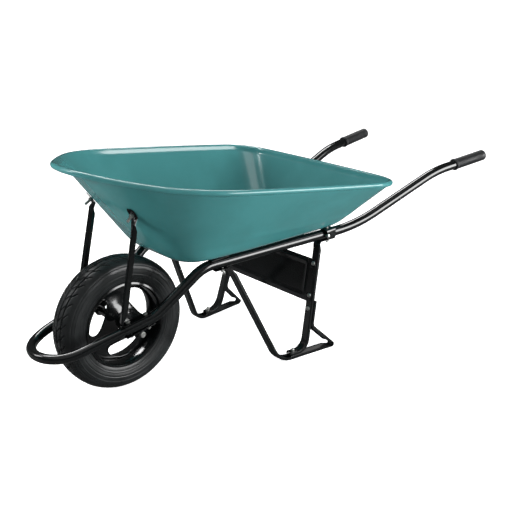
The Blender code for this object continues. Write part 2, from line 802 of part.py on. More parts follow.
def make_legs():
    """The two channels of the right leg. Returns them by name."""
    step = -TUBE_RADIUS - GAP
    # Rear leg: tab under the tube, down, then forward onto the skid
    tab_end, _, n_rear = tube_at(0.622)
    tab_start, _, _ = tube_at(0.575)
    top = tab_start + n_rear * step
    last = tab_end + n_rear * step
    sole = CHANNEL_DEPTH * 2 + GAP
    corner_z = top.z - 0.0006
    corners = [(last.x, last.z), (leg_x(corner_z), corner_z), (leg_x(sole), sole), (0.4395, sole)]
    path = strip(corners, (0.012, 0.034), 5)
    path.insert(len(path) - 1, path[-1] + (path[-2] - path[-1]) * 0.35)
    stations = []
    for point in path:
        upright = top.z - 0.010 > point.z > sole + 0.004
        outward = UP if point.z > top.z - 0.003 or point.z < sole + 0.002 else LEG_FRONT
        if not upright and outward == LEG_FRONT:
            outward = (LEG_FRONT + UP).normalized()
        depth = FLAT if point.z > top.z - 0.012 else CHANNEL_DEPTH
        stations.append((point, outward, CHANNEL_WIDTH, depth))
    low = leg_point(leg_x(top.z - 0.026), top.z - 0.026)
    spare = [i for i, station in enumerate(stations) if station[0].z > top.z - 0.014]
    stations.insert(spare[-1] + 1, (low, LEG_FRONT, CHANNEL_WIDTH, CHANNEL_DEPTH))
    leg = placed("rear_leg_right", channel_mesh(stations), "frame_enamel")

    # Strut: tab under the tube, down to the skid on the ground, round, and up behind the rear leg
    n = tube_at(FRONT_BOLT_X)[2]
    step = -TUBE_RADIUS - GAP - FLAT
    tip = tube_at(0.222)[0] + n * step
    bend = tube_at(0.2575)[0] + n * step
    behind = CHANNEL_DEPTH * 2 + GAP
    rise = behind / LEG_FRONT.x
    peak = 0.152
    back_x = -rise
    fork_z = (SKID_END_X - LEG_X + LEG_RAKE * LEG_Z - back_x) / (1 + LEG_RAKE)
    corners = [
        (tip.x - 0.008, tip.z),
        (bend.x, bend.z),
        (0.394, 0.0),
        (SKID_END_X, 0.0),
        (SKID_END_X - fork_z, fork_z),
        (leg_x(peak) + back_x, peak),
    ]
    path = strip(corners, (0.010, 0.065, 0.0085, 0.016), 5)
    stations = []
    for i, point in enumerate(path):
        ahead = path[min(i + 1, len(path) - 1)]
        prior = path[max(i - 1, 0)]
        along = (ahead - prior).normalized()
        outward = Vector((along.z, 0, -along.x))
        depth = CHANNEL_DEPTH
        if point.z > tip.z - 0.006:
            depth = FLAT
        elif point.x > 0.585:
            depth = 0.0034
        stations.append((point, outward, CHANNEL_WIDTH, depth))
    stations = fill_straights(stations)
    strut = placed("leg_strut_right", channel_mesh(stations), "frame_enamel")
    return {"leg": leg, "strut": strut}


def fill_straights(stations):
    """Adds a full-depth section soon after a flattened one and before the next, so that a channel
    opens out within a short length."""
    result = [stations[0]]
    for before, after in zip(stations, stations[1:]):
        gap = (after[0] - before[0]).length
        if gap > 0.05 and abs(before[3] - after[3]) > 0.004:
            share = 0.022 / gap
            if before[3] < after[3]:
                spot = before[0].lerp(after[0], share)
                result.append((spot, after[1], after[2], after[3]))
            else:
                spot = before[0].lerp(after[0], 1 - share)
                result.append((spot, before[1], before[2], before[3]))
        result.append(after)
    return result


def make_leg_panel():
    """The plate across the front of the two rear legs."""
    low, high = PANEL_Z
    margin = 0.010
    back = LEG_FRONT * GAP

    def edge(z, out):
        return leg_point(leg_x(z), z) + RIGHT * out + back

    half = [
        edge(low, -0.012),
        edge(low + 0.003, -0.005),
        edge(low + 0.009, 0.004),
        edge(low + 0.018, margin - 0.002),
        edge(high - 0.030, margin),
        edge(high - 0.012, margin - 0.001),
        edge(high - 0.004, 0.004),
        edge(high, -0.004),
    ]
    outline = half + [MIRROR @ point for point in reversed(half)]
    return placed("leg_panel", slab(outline, LEG_FRONT * 0.0018), "frame_enamel")


def make_leg_bolts(legs, panel):
    """Two panel bolts, the junction bolt and the foot bolt on each side."""
    for spot, z in zip(("low", "high"), PANEL_BOLTS_Z):
        point = leg_point(leg_x(z), z)
        bore = hole(f"panel_hole_{spot}", point, LEG_FRONT, 0.0033, 0.012)
        boolean(panel, bore)
        boolean(legs["leg"], bore[:1])
        rings = bolt_rings(GAP * 2 + 0.0018, -STEEL - GAP, -STEEL - 0.0075, 0.0033, dome=True)
        both(placed(f"panel_bolt_{spot}_right", fastener_mesh(point, LEG_FRONT, rings), "zinc"))
    point = leg_point(leg_x(JUNCTION_Z), JUNCTION_Z)
    bore = hole("junction_hole", point, LEG_FRONT, 0.0033, 0.04)
    boolean(legs["leg"], bore[:1])
    boolean(legs["strut"], bore[:1])
    far = -2 * CHANNEL_DEPTH - 2 * GAP
    rings = bolt_rings(GAP, far, far - 0.0075, 0.0033, dome=True)
    both(placed("junction_bolt_right", fastener_mesh(point, LEG_FRONT, rings), "zinc"))

    # The foot bolt's countersunk head lies flush in the skid, and its nut stands on the leg's foot
    point = leg_point(FOOT_BOLT_X, 0)
    cone = [
        (-0.004, 0.0066, False),
        (0.0001, 0.0064, False),
        (0.0024, 0.0042, False),
        (0.0300, 0.0042, False),
    ]
    bore = hole("foot_hole", point, UP, wide=cone)
    boolean(legs["leg"], bore[:1])
    boolean(legs["strut"], bore[:1])
    top = 2 * CHANNEL_DEPTH + 2 * GAP
    rings = [
        (0.0003, 0.0059, False),
        (0.0025, 0.0036, False),
        (top, 0.0036, False),
        (top, 0.0064, True),
        (top + 0.0044, 0.0064, True),
        (top + 0.0050, 0.0058, True),
        (top + 0.0050, 0.0034, False),
        (top + 0.0085, 0.0034, False),
    ]
    both(placed("foot_bolt_right", fastener_mesh(point, UP, rings), "zinc"))


def main():
    tray = make_tray()
    meet = tray_surface(tray)
    centre = make_wheel()
    make_axle(centre)
    tube, bumper, bracket, brace = make_frame(meet)
    legs = make_legs()
    make_tray_bolts(tube, meet, legs)
    make_leg_bolts(legs, make_leg_panel())
    make_grips()
    for piece in (tube, bracket, brace, legs["leg"], legs["strut"]):
        both(piece)


clear_scene()
PIECES = new_collection("wheelbarrow")
CUTTERS = new_collection("cutters")
CUTTERS.hide_render = True
new_materials()
main()
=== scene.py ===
"""Dress the wheelbarrow's frame: enamelled tray and tubes, pneumatic wheel, grips and zinc fasteners.

Metres, +Z up, ground at z = 0, the wheel at -X and the operator's left at -Y. Shapes are laid out
with x measured back from the axle, as the frame's own pieces are, and then moved to the axle.
"""

import json
import math

import bmesh
import bpy
import numpy as np
from bpy.props import FloatProperty, FloatVectorProperty, IntProperty, PointerProperty
from mathutils import Matrix, Vector


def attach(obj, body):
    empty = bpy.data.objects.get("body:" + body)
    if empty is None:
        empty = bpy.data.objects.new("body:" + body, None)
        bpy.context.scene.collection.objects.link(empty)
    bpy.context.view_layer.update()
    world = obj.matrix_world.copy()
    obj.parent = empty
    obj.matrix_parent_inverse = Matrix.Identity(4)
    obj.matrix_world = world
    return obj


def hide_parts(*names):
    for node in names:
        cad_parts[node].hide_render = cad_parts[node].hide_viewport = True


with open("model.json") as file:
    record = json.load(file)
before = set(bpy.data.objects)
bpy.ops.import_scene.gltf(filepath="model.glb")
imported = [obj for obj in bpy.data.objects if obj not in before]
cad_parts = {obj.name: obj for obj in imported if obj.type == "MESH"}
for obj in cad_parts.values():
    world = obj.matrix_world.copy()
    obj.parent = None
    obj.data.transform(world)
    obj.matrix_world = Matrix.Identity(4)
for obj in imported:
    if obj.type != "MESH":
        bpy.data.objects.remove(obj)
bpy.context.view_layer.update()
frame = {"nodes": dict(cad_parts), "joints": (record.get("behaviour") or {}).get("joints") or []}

bl_info = {
    "name": "Wheelbarrow",
    "version": (1, 0, 0),
    "blender": (4, 5, 0),
    "location": "View3D > Sidebar > Wheelbarrow",
    "description": "Builds the looks of a garden wheelbarrow around its frame",
    "category": "Object",
}

AXLE = Vector(frame["joints"][0]["pos_m"])
STAND = Vector((AXLE.x, 0, 0))
UP = Vector((0, 0, 1))
RIGHT = Vector((0, 1, 0))
MIRROR = Matrix.Scale(-1, 4, RIGHT)
SIDES = {"right": Matrix.Identity(4), "left": MIRROR}

# Tray: rim centre (x, y), floor edge (x, y) and share of the front lip, from the front to the rear
TRAY_PLAN = (
    ((-0.1290, 0.000), (0.117, 0.000), 1.00),
    ((-0.1210, 0.054), (0.118, 0.048), 0.95),
    ((-0.0980, 0.103), (0.122, 0.090), 0.70),
    ((-0.0660, 0.152), (0.132, 0.120), 0.40),
    ((-0.0290, 0.202), (0.150, 0.141), 0.18),
    ((0.0150, 0.249), (0.177, 0.153), 0.06),
    ((0.0680, 0.283), (0.215, 0.160), 0.02),
    ((0.1450, 0.308), (0.265, 0.166), 0.00),
    ((0.2500, 0.320), (0.335, 0.175), 0.00),
    ((0.3700, 0.329), (0.415, 0.182), 0.00),
    ((0.5000, 0.336), (0.500, 0.188), 0.00),
    ((0.6050, 0.339), (0.575, 0.192), 0.00),
    ((0.6650, 0.3365), (0.615, 0.190), 0.00),
    ((0.7060, 0.317), (0.644, 0.175), 0.00),
    ((0.7290, 0.280), (0.658, 0.148), 0.00),
    ((0.7385, 0.230), (0.662, 0.112), 0.00),
    ((0.7430, 0.130), (0.663, 0.060), 0.00),
    ((0.7450, 0.000), (0.663, 0.000), 0.00),
)
RIM_Z = 0.5875
RIM_FALL = 0.119
FLOOR_Z = 0.3445
FLOOR_RISE = 0.0433
FLOOR_FROM = 0.19
FLOOR_MIDDLE_X = (TRAY_PLAN[0][1][0] + TRAY_PLAN[-1][1][0]) / 2
FLOOR_BEND = 0.024  # how far the bend from floor to wall reaches, with more at the tray's ends
FLOOR_BEND_AT_ENDS = 0.010
FLOOR_BEND_UP = 0.012
SHOULDER_IN = 0.006
SHOULDER_DROP = 0.010
LIP_REACH = 0.040
LIP_RISE = 0.0115
LIP_DROP = 0.014
ROLL_TURN = 280
# A shallow ledge along the long walls: its depth, and its place and width as shares of the wall
LEDGE = (0.0011, 0.16, 0.05)

# Tubes: the handle's centre line as (x, z) corners, its bends, and how it spreads outwards
TUBE_AXLE_Y = 0.1093
TUBE_SPREAD = 0.1165
TUBE_PATH = (
    (-0.047, 0.2036),
    (0.0415, 0.2232),
    (0.185, 0.3262),
    (0.710, 0.3482),
    (1.032, 0.468),
    (1.2476, 0.4926),
)
TUBE_BENDS = (0.10, 0.10, 0.50, 0.40)
BUMPER_CURVE = (
    (-0.171, 0.0880, 0.1750),
    (-0.1955, 0.0785, 0.1695),
    (-0.2160, 0.0640, 0.1662),
    (-0.2325, 0.0430, 0.1645),
    (-0.2405, 0.0220, 0.1638),
    (-0.2435, 0.0, 0.1635),
)
BUMPER_JOIN_X = -0.04
BUMPER_STRAIGHT = 0.1075
BUMPER_INSIDE_TUBE = 0.02
PIPE_SIDES = 32
PIPE_CHAMFER = 0.0008

# Grips: the collar as (radius, distance along the handle), and the ribbed length
GRIP_START_X = 1.117
GRIP_LENGTH = 0.1374
GRIP_COLLAR = (
    (0.0140, 0.0),
    (0.0178, 0.0),
    (0.0187, 0.0012),
    (0.0188, 0.0048),
    (0.0176, 0.0072),
)
GRIP_RIBS_FROM = 0.014
GRIP_RIBS_BEFORE_END = 0.016
GRIP_END_ROUND = 0.0055

# Leg panel, on the front faces of the two splayed rear legs
LEG_SPLAY = 0.117
LEG_TOP_Z = 0.3294
LEG_RAKE = 0.245
LEG_X = 0.5507
LEG_Z = 0.27
PANEL_Z = (0.153, 0.275)
PANEL_THICKNESS = 0.0018
PANEL_CLEAR = 0.0003
PANEL_OVERLAP = 0.009
PANEL_CORNER = 0.016
PANEL_GRID = (48, 120)
# The pressed border: how far in it starts from the side and from the ends, and its corners' radius
BORDER_FROM_SIDE = 0.028
BORDER_FROM_END = 0.008
BORDER_CORNER = 0.014
LEG_FRONT = Vector((-1, 0, LEG_RAKE)).normalized()

# Wheel profiles as (radius, distance to the right), and the three windows of its disc
TYRE_CROWN = (
    (0.1180, 0.0353),
    (0.1290, 0.0402),
    (0.1430, 0.0434),
    (0.1580, 0.0428),
    (0.1700, 0.0378),
    (0.1770, 0.0300),
    (0.1815, 0.0180),
    (0.1830, 0.0000),
)
RIM_OUTSIDE = (
    (0.1175, 0.0375),
    (0.1171, 0.0356),
    (0.1112, 0.0343),
    (0.1108, 0.0250),
    (0.1085, 0.0200),
    (0.1085, 0.0000),
)
RIM_INSIDE = ((0.1063, 0.0000), (0.1063, 0.0205), (0.1085, 0.0290), (0.1098, 0.0362), (0.1130, 0.0392))
DISC_FACE = (
    (0.1060, 0.0005),
    (0.1030, -0.0025),
    (0.0800, -0.0025),
    (0.0500, -0.0085),
    (0.0300, -0.0170),
    (0.0180, -0.0190),
)
DISC_THICKNESS = 0.0025
DISC_FLANGE = ((0.1036, 0.0035), (0.1036, 0.0120), (0.1062, 0.0120))
WINDOW_RADII = (0.0525, 0.1025)
WINDOW_HALF_ANGLE = math.radians(38)
WINDOW_ANGLES = (37, 157, 277)
WINDOW_LIP_OUT = 0.0009
WINDOW_LIP_HALF = (0.0019, 0.0021)
WINDOW_LIP_SUNK = 0.0002
WHEEL_STEPS = 192
TYRE_STEPS = 800
TYRE_BEADS = ((0.1115, -0.0340), (0.1115, 0.0340))
TREAD_HALF = 0.034
TREAD_FROM_RADIUS = 0.168
TREAD_BLOCKS = 40
TREAD_SLANT = 45
TREAD_GROOVES = (0.0, 0.0165)
TREAD_GROOVE_WIDTH = 0.0014
# Slanting cuts: where they start and end from the middle, then their place and width in a block
TREAD_CUTS = ((0.0030, 0.0135, 0.25, 0.060), (0.0165, 0.0300, 0.60, 0.065))
TREAD_CUT_DEPTH = 0.8
SIDEWALL_TO_RADIUS = 0.170
# Rings on the sidewalls: radius, width and height, which is negative for a groove
SIDEWALL_RINGS = (
    (0.1255, 0.0012, 0.0008),
    (0.1305, 0.0010, 0.0006),
    (0.1420, 0.0012, -0.0007),
    (0.1560, 0.0013, 0.0009),
    (0.1655, 0.0012, -0.0008),
)

# Fasteners: a nut's chamfer as shares of its height and corner, and a bolt's thread
NUT_CHAMFER = 0.14
NUT_FACE = 0.90
THREAD_STEP = 0.0009
THREAD_ROOT = 0.90
THREAD_TIP = 0.78

# Studio: the camera's place, heading and dip, and the lights as place, aim, size and power
CAMERA_PLACE = Vector((-1.4827, -1.6731, 1.0484))
CAMERA_HEADING = math.radians(41.27)
CAMERA_DIP = math.radians(19.69)
CAMERA_LENS = 55.11
LIGHTS = {
    "overhead": ((-0.3, 0.3, 2.8), (0, 0, 0.3), (2.0, 1.5), 20),
    "wheel side": ((-2.4, 1.9, 1.0), (-0.3, 0, 0.35), (2.4, 1.7), 125),
    "handle side": ((1.6, -2.7, 0.9), (0.1, 0, 0.35), (2.6, 1.7), 160),
    "glint strip": ((0.3, 1.3, 2.6), (0, 0, 0.3), (3.4, 0.5), 105),
    "wheel glint": ((-2.4, 1.7, 1.9), (-0.5, 0, 0.35), (0.35, 1.2), 20),
}
NOT_REFLECTED = ("wheel side",)
ONLY_REFLECTED = ("glint strip", "wheel glint")
SKY_AMBIENT = 0.24
SKY_REFLECTED = 0.06
PAPER_AMBIENT = 0.55
PAPER_REFLECTED = 0.12
PAPER_GLOW = 0.85
PAPER_NEAR = -14.0
PAPER_FAR = 14.0
PAPER_CURVE = 4.0
PAPER_ACROSS = (-14, -5, 5, 14)

# Pieces of the frame whose own shape is kept, with the width that their edges are rounded by
KEPT_NODES = {
    "tray_brace": 0.0006,
    "axle_bracket": 0.0006,
    "rear_leg": 0.0006,
    "leg_strut": 0.0006,
    "cross_member": 0.0006,
    "wheel_hub": 0.0004,
    "axle_spacer": 0.0004,
    "bearing": 0.0003,
    "axle": 0.0003,
}


# ---------------------------------------------------------------- properties


class BarrowSizes(bpy.types.PropertyGroup):
    """Sizes that a user may change."""

    sheet: FloatProperty(
        name="Tray sheet", description="Thickness of the tray's steel", default=0.0018, unit="LENGTH"
    )
    roll: FloatProperty(
        name="Rim roll", description="Outer radius of the rolled rim", default=0.0055, unit="LENGTH"
    )
    tube: FloatProperty(
        name="Handle tube", description="Radius of the handle tubes", default=0.0143, unit="LENGTH"
    )
    bumper: FloatProperty(
        name="Bumper tube", description="Radius of the bumper tube", default=0.0127, unit="LENGTH"
    )
    grip: FloatProperty(
        name="Grip", description="Outer radius of the grips", default=0.0163, unit="LENGTH"
    )
    tread: FloatProperty(
        name="Tread depth", description="Depth of the tyre's grooves", default=0.0030, unit="LENGTH"
    )
    panel_press: FloatProperty(
        name="Panel pressing", description="Height of the leg panel's border", default=0.0022, unit="LENGTH"
    )
    grip_ribs: IntProperty(
        name="Grip ribs", description="Number of rings on each grip", default=22, min=0
    )


def colour(name, description, default):
    """A colour that a user may change."""
    return FloatVectorProperty(
        name=name, description=description, default=default, subtype="COLOR", min=0, max=1
    )


class BarrowColours(bpy.types.PropertyGroup):
    """Colours of the finishes."""

    tray: colour("Tray enamel", "Enamel of the tray", (0.055, 0.220, 0.224))
    frame: colour("Frame enamel", "Enamel of the tubes, legs and wheel", (0.0030, 0.0038, 0.0040))
    rubber: colour("Tyre", "Rubber of the tyre", (0.0098, 0.0112, 0.0116))
    grip: colour("Grips", "Plastic of the grips", (0.010, 0.011, 0.012))
    zinc: colour("Fasteners", "Plating of the bolts and the axle", (0.62, 0.63, 0.61))
    floor: colour("Floor", "Studio floor and backdrop", (0.90, 0.90, 0.90))


# ---------------------------------------------------------------- meshes


def mesh_of(name, points, faces, smooth_angle=35):
    """A smoothly shaded mesh with sharp edges above an angle."""
    mesh = bpy.data.meshes.new(name)
    mesh.from_pydata([tuple(point) for point in points], [], faces)
    mesh.validate()
    mesh.shade_smooth()
    mesh.set_sharp_from_angle(angle=math.radians(smooth_angle))
    return mesh


def loft(name, rings, closed_path=False, smooth_angle=35):
    """A surface through rings of equal count, with its ends capped or joined to each other."""
    count = len(rings[0])
    points = [point for ring in rings for point in ring]
    faces = []
    for row in range(len(rings) - (0 if closed_path else 1)):
        here = row * count
        there = (row + 1) % len(rings) * count
        for i in range(count):
            j = (i + 1) % count
            faces.append((here + i, here + j, there + j, there + i))
    if not closed_path:
        faces.append(tuple(range(count - 1, -1, -1)))
        faces.append(tuple(range(len(points) - count, len(points))))
    return mesh_of(name, points, faces, smooth_angle)


def turned_faces(steps, count):
    """The faces of a closed profile that is carried once round in steps."""
    faces = []
    for i in range(steps):
        here = i * count
        there = (i + 1) % steps * count
        for j in range(count):
            k = (j + 1) % count
            faces.append((here + j, there + j, there + k, here + k))
    return faces


def lathe(name, profile, centre, axis=RIGHT, steps=WHEEL_STEPS):
    """A turned shape from a closed profile of (radius, distance along the axis)."""
    side = axis.orthogonal().normalized()
    other = axis.cross(side)
    points = []
    for i in range(steps):
        turn = 2 * math.pi * i / steps
        spoke = side * math.cos(turn) + other * math.sin(turn)
        points += [centre + axis * along + spoke * radius for radius, along in profile]
    return mesh_of(name, points, turned_faces(steps, len(profile)), 40)


def face_outwards(obj):
    """Turns every face of a closed or one-sided piece outwards."""
    bm = bmesh.new()
    bm.from_mesh(obj.data)
    bmesh.ops.remove_doubles(bm, verts=bm.verts, dist=0.000001)
    bmesh.ops.recalc_face_normals(bm, faces=bm.faces)
    bm.to_mesh(obj.data)
    bm.free()


def piece(name, mesh, material, body, stands_for=()):
    """A new piece that rides on a body, has a finish and stands for some of the frame's pieces."""
    obj = bpy.data.objects.new(name, mesh)
    bpy.context.scene.collection.objects.link(obj)
    mesh.materials.clear()
    mesh.materials.append(material)
    face_outwards(obj)
    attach(obj, body)
    if stands_for:
        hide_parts(*stands_for)
    return obj


def smooth(points, steps):
    """A smooth curve through every point."""
    points = [Vector(point) for point in points]
    points = [2 * points[0] - points[1], *points, 2 * points[-1] - points[-2]]
    path = []
    for a, b, c, d in zip(points, points[1:], points[2:], points[3:]):
        for i in range(steps):
            t = i / steps
            bend = 2 * a - 5 * b + 4 * c - d
            twist = -a + 3 * b - 3 * c + d
            path.append(b + ((c - a) * t + bend * t**2 + twist * t**3) / 2)
    return [*path, points[-2]]


def rounded(points, radii, steps=14):
    """A polyline with its corners rounded to the given radii."""
    path = [Vector(points[0])]
    for before, corner, after, radius in zip(points, points[1:], points[2:], radii):
        first = (before - corner).normalized()
        second = (after - corner).normalized()
        half = first.angle(second) / 2
        centre = corner + (first + second).normalized() * (radius / math.sin(half))
        reach = radius / math.tan(half)
        start = corner + first * reach - centre
        end = corner + second * reach - centre
        sweep = start.angle(end)
        for i in range(steps + 1):
            share = i / steps
            one = math.sin((1 - share) * sweep) / math.sin(sweep)
            two = math.sin(share * sweep) / math.sin(sweep)
            path.append(centre + start * one + end * two)
    path.append(Vector(points[-1]))
    return path


def pipe(name, path, radius):
    """A round tube along a path, its ends slightly chamfered."""
    first = (path[1] - path[0]).normalized()
    last = (path[-1] - path[-2]).normalized()
    near, far = path[0] + first * PIPE_CHAMFER, path[-1] - last * PIPE_CHAMFER
    stops = [path[0], near, *path[1:-1], far, path[-1]]
    side = first.orthogonal().normalized()
    rings = []
    for i, point in enumerate(stops):
        along = (stops[min(i + 1, len(stops) - 1)] - stops[max(i - 1, 0)]).normalized()
        side = (side - along * side.dot(along)).normalized()
        other = along.cross(side)
        reach = radius - PIPE_CHAMFER if i in (0, len(stops) - 1) else radius
        ring = []
        for j in range(PIPE_SIDES):
            turn = 2 * math.pi * j / PIPE_SIDES
            ring.append(point + (side * math.cos(turn) + other * math.sin(turn)) * reach)
        rings.append(ring)
    return loft(name, rings)


# ---------------------------------------------------------------- shader groups


def shader_group(name, inputs, outputs):
    """An empty node group with float inputs and outputs."""
    tree = bpy.data.node_groups.new(name, "ShaderNodeTree")
    for label, value in inputs:
        socket = tree.interface.new_socket(name=label, in_out="INPUT", socket_type="NodeSocketFloat")
        socket.default_value = value
    for label in outputs:
        tree.interface.new_socket(name=label, in_out="OUTPUT", socket_type="NodeSocketFloat")
    return tree, tree.nodes.new("NodeGroupInput"), tree.nodes.new("NodeGroupOutput")


def link(tree, source, target):
    tree.links.new(source, target)


def noise_node(tree, scale, detail=4.0, roughness=0.55):
    """Noise over the object's own space."""
    place = tree.nodes.new("ShaderNodeTexCoord")
    noise = tree.nodes.new("ShaderNodeTexNoise")
    noise.inputs["Detail"].default_value = detail
    noise.inputs["Roughness"].default_value = roughness
    link(tree, place.outputs["Object"], noise.inputs["Vector"])
    if isinstance(scale, float):
        noise.inputs["Scale"].default_value = scale
    else:
        link(tree, scale, noise.inputs["Scale"])
    return noise.outputs["Fac"]


def math_node(tree, operation, *values):
    """A calculation on numbers or sockets."""
    node = tree.nodes.new("ShaderNodeMath")
    node.operation = operation
    for socket, value in zip(node.inputs, values):
        if isinstance(value, (int, float)):
            socket.default_value = value
        else:
            link(tree, value, socket)
    return node.outputs["Value"]


def ramp_node(tree, value, low, high, start=0.0, end=1.0):
    """Maps low..high to start..end, clamped and eased."""
    node = tree.nodes.new("ShaderNodeMapRange")
    node.interpolation_type = "SMOOTHSTEP"
    link(tree, value, node.inputs["Value"])
    for socket, number in zip(("From Min", "From Max", "To Min", "To Max"), (low, high, start, end)):
        if isinstance(number, (int, float)):
            node.inputs[socket].default_value = number
        else:
            link(tree, number, node.inputs[socket])
    return node.outputs["Result"]


def make_grain_group():
    """Fine and coarse unevenness: a height for bump, and two masks for colour and gloss."""
    tree, given, result = shader_group(
        "Uneven finish", [("Fine scale", 900.0), ("Coarse scale", 9.0)], ["Height", "Fine", "Coarse"]
    )
    fine = noise_node(tree, given.outputs["Fine scale"], 3.0)
    coarse = noise_node(tree, given.outputs["Coarse scale"], 5.0)
    broad = math_node(tree, "MULTIPLY", coarse, 0.6)
    link(tree, math_node(tree, "ADD", fine, broad), result.inputs["Height"])
    link(tree, ramp_node(tree, fine, 0.35, 0.65), result.inputs["Fine"])
    link(tree, ramp_node(tree, coarse, 0.35, 0.68), result.inputs["Coarse"])
    return tree


def make_wear_group():
    """Rubbed edges: outward corners, broken up by noise."""
    tree, given, result = shader_group(
        "Edge wear", [("Start", 0.52), ("End", 0.60), ("Break up", 60.0)], ["Mask"]
    )
    shape = tree.nodes.new("ShaderNodeNewGeometry")
    corner = ramp_node(
        tree, shape.outputs["Pointiness"], given.outputs["Start"], given.outputs["End"]
    )
    patch = ramp_node(tree, noise_node(tree, given.outputs["Break up"], 6.0, 0.65), 0.44, 0.62)
    link(tree, math_node(tree, "MULTIPLY", corner, patch), result.inputs["Mask"])
    return tree


def make_dust_group():
    """Dust that gathers low down, thinning out towards a height."""
    tree, given, result = shader_group(
        "Low dust", [("Height", 0.25), ("Scale", 18.0)], ["Mask"]
    )
    place = tree.nodes.new("ShaderNodeTexCoord")
    parts = tree.nodes.new("ShaderNodeSeparateXYZ")
    link(tree, place.outputs["Object"], parts.inputs["Vector"])
    low = ramp_node(tree, parts.outputs["Z"], 0.0, given.outputs["Height"], 1.0, 0.0)
    patch = ramp_node(tree, noise_node(tree, given.outputs["Scale"], 8.0, 0.7), 0.42, 0.75)
    link(tree, math_node(tree, "MULTIPLY", low, patch), result.inputs["Mask"])
    return tree


def shared_groups():
    """The shader groups, each made the first time that one is asked for."""
    makers = {"Uneven finish": make_grain_group, "Edge wear": make_wear_group, "Low dust": make_dust_group}
    return {name: bpy.data.node_groups.get(name) or make() for name, make in makers.items()}


def group_node(tree, name, **values):
    """A shader group placed in a material, with its own values."""
    node = tree.nodes.new("ShaderNodeGroup")
    node.node_tree = shared_groups()[name]
    for label, value in values.items():
        node.inputs[label.replace("_", " ")].default_value = value
    return node


# ---------------------------------------------------------------- finishes


def finish_base(name, base, gloss, metallic=0.0, shine=0.5):
    """A material with its Principled shader, its display colour and a plain roughness."""
    material = bpy.data.materials.new(name)
    material.use_nodes = True
    material.diffuse_color = (*base, 1)
    tree = material.node_tree
    shader = tree.nodes["Principled BSDF"]
    shader.inputs["Base Color"].default_value = (*base, 1)
    shader.inputs["Roughness"].default_value = gloss
    shader.inputs["Metallic"].default_value = metallic
    shader.inputs["Specular IOR Level"].default_value = shine
    return material, tree, shader


def blend_colours(tree, factor, one, two):
    """A Mix node's colour, from one to two; its colour sockets are its seventh and eighth."""
    node = tree.nodes.new("ShaderNodeMix")
    node.data_type = "RGBA"
    link(tree, factor, node.inputs[0])
    for socket, value in ((node.inputs[6], one), (node.inputs[7], two)):
        if isinstance(value, tuple):
            socket.default_value = (*value, 1)
        else:
            link(tree, value, socket)
    return node.outputs[2]


def add_bump(tree, shader, height, distance):
    """Feeds a height to the shader as a fine relief of a given depth."""
    bump = tree.nodes.new("ShaderNodeBump")
    bump.inputs["Distance"].default_value = distance
    bump.inputs["Strength"].default_value = 1.0
    link(tree, height, bump.inputs["Height"])
    link(tree, bump.outputs["Normal"], shader.inputs["Normal"])


def shade(base, factor):
    """A colour made paler or darker by a factor."""
    return tuple(min(1.0, channel * factor) for channel in base)


def enamel(name, base, worn, wear_from, shine, gloss, peel, dust_colour, dust_height, dust_share):
    """Baked enamel: gloss with a slight orange peel, mottling, rubbed edges and a little dust."""
    material, tree, shader = finish_base(name, base, gloss[0], shine=shine)
    grain = group_node(tree, "Uneven finish", Fine_scale=420.0, Coarse_scale=7.0)
    wear = group_node(tree, "Edge wear", Start=wear_from, End=wear_from + 0.07, Break_up=70.0)
    dust = group_node(tree, "Low dust", Height=dust_height, Scale=16.0)
    mottled = blend_colours(tree, grain.outputs["Coarse"], shade(base, 0.93), shade(base, 1.06))
    rubbed = blend_colours(
        tree, math_node(tree, "MULTIPLY", wear.outputs["Mask"], 0.75), mottled, worn
    )
    dusty = math_node(tree, "MULTIPLY", dust.outputs["Mask"], dust_share)
    link(tree, blend_colours(tree, dusty, rubbed, dust_colour), shader.inputs["Base Color"])
    rough = ramp_node(tree, grain.outputs["Coarse"], 0.0, 1.0, *gloss)
    link(tree, math_node(tree, "ADD", rough, dusty), shader.inputs["Roughness"])
    add_bump(tree, shader, grain.outputs["Height"], peel)
    return material


def rubber(name, base):
    """Tyre rubber: satin, finely grained, with a paler bloom and scuffed edges."""
    material, tree, shader = finish_base(name, base, 0.4, shine=0.32)
    grain = group_node(tree, "Uneven finish", Fine_scale=1100.0, Coarse_scale=14.0)
    wear = group_node(tree, "Edge wear", Start=0.51, End=0.60, Break_up=40.0)
    bloom = blend_colours(tree, grain.outputs["Coarse"], shade(base, 0.8), shade(base, 1.45))
    scuffed = math_node(tree, "MULTIPLY", wear.outputs["Mask"], 0.55)
    link(tree, blend_colours(tree, scuffed, bloom, shade(base, 2.2)), shader.inputs["Base Color"])
    link(tree, ramp_node(tree, grain.outputs["Coarse"], 0.0, 1.0, 0.27, 0.40), shader.inputs["Roughness"])
    add_bump(tree, shader, grain.outputs["Height"], 0.00010)
    return material


def grip_plastic(name, base):
    """Moulded plastic with a fine leathery grain."""
    material, tree, shader = finish_base(name, base, 0.5, shine=0.35)
    grain = group_node(tree, "Uneven finish", Fine_scale=1400.0, Coarse_scale=30.0)
    wear = group_node(tree, "Edge wear", Start=0.52, End=0.62, Break_up=90.0)
    toned = blend_colours(tree, grain.outputs["Fine"], shade(base, 0.8), shade(base, 1.3))
    rubbed = math_node(tree, "MULTIPLY", wear.outputs["Mask"], 0.6)
    link(tree, blend_colours(tree, rubbed, toned, shade(base, 3.0)), shader.inputs["Base Color"])
    link(tree, ramp_node(tree, grain.outputs["Coarse"], 0.0, 1.0, 0.42, 0.58), shader.inputs["Roughness"])
    add_bump(tree, shader, grain.outputs["Height"], 0.00015)
    return material


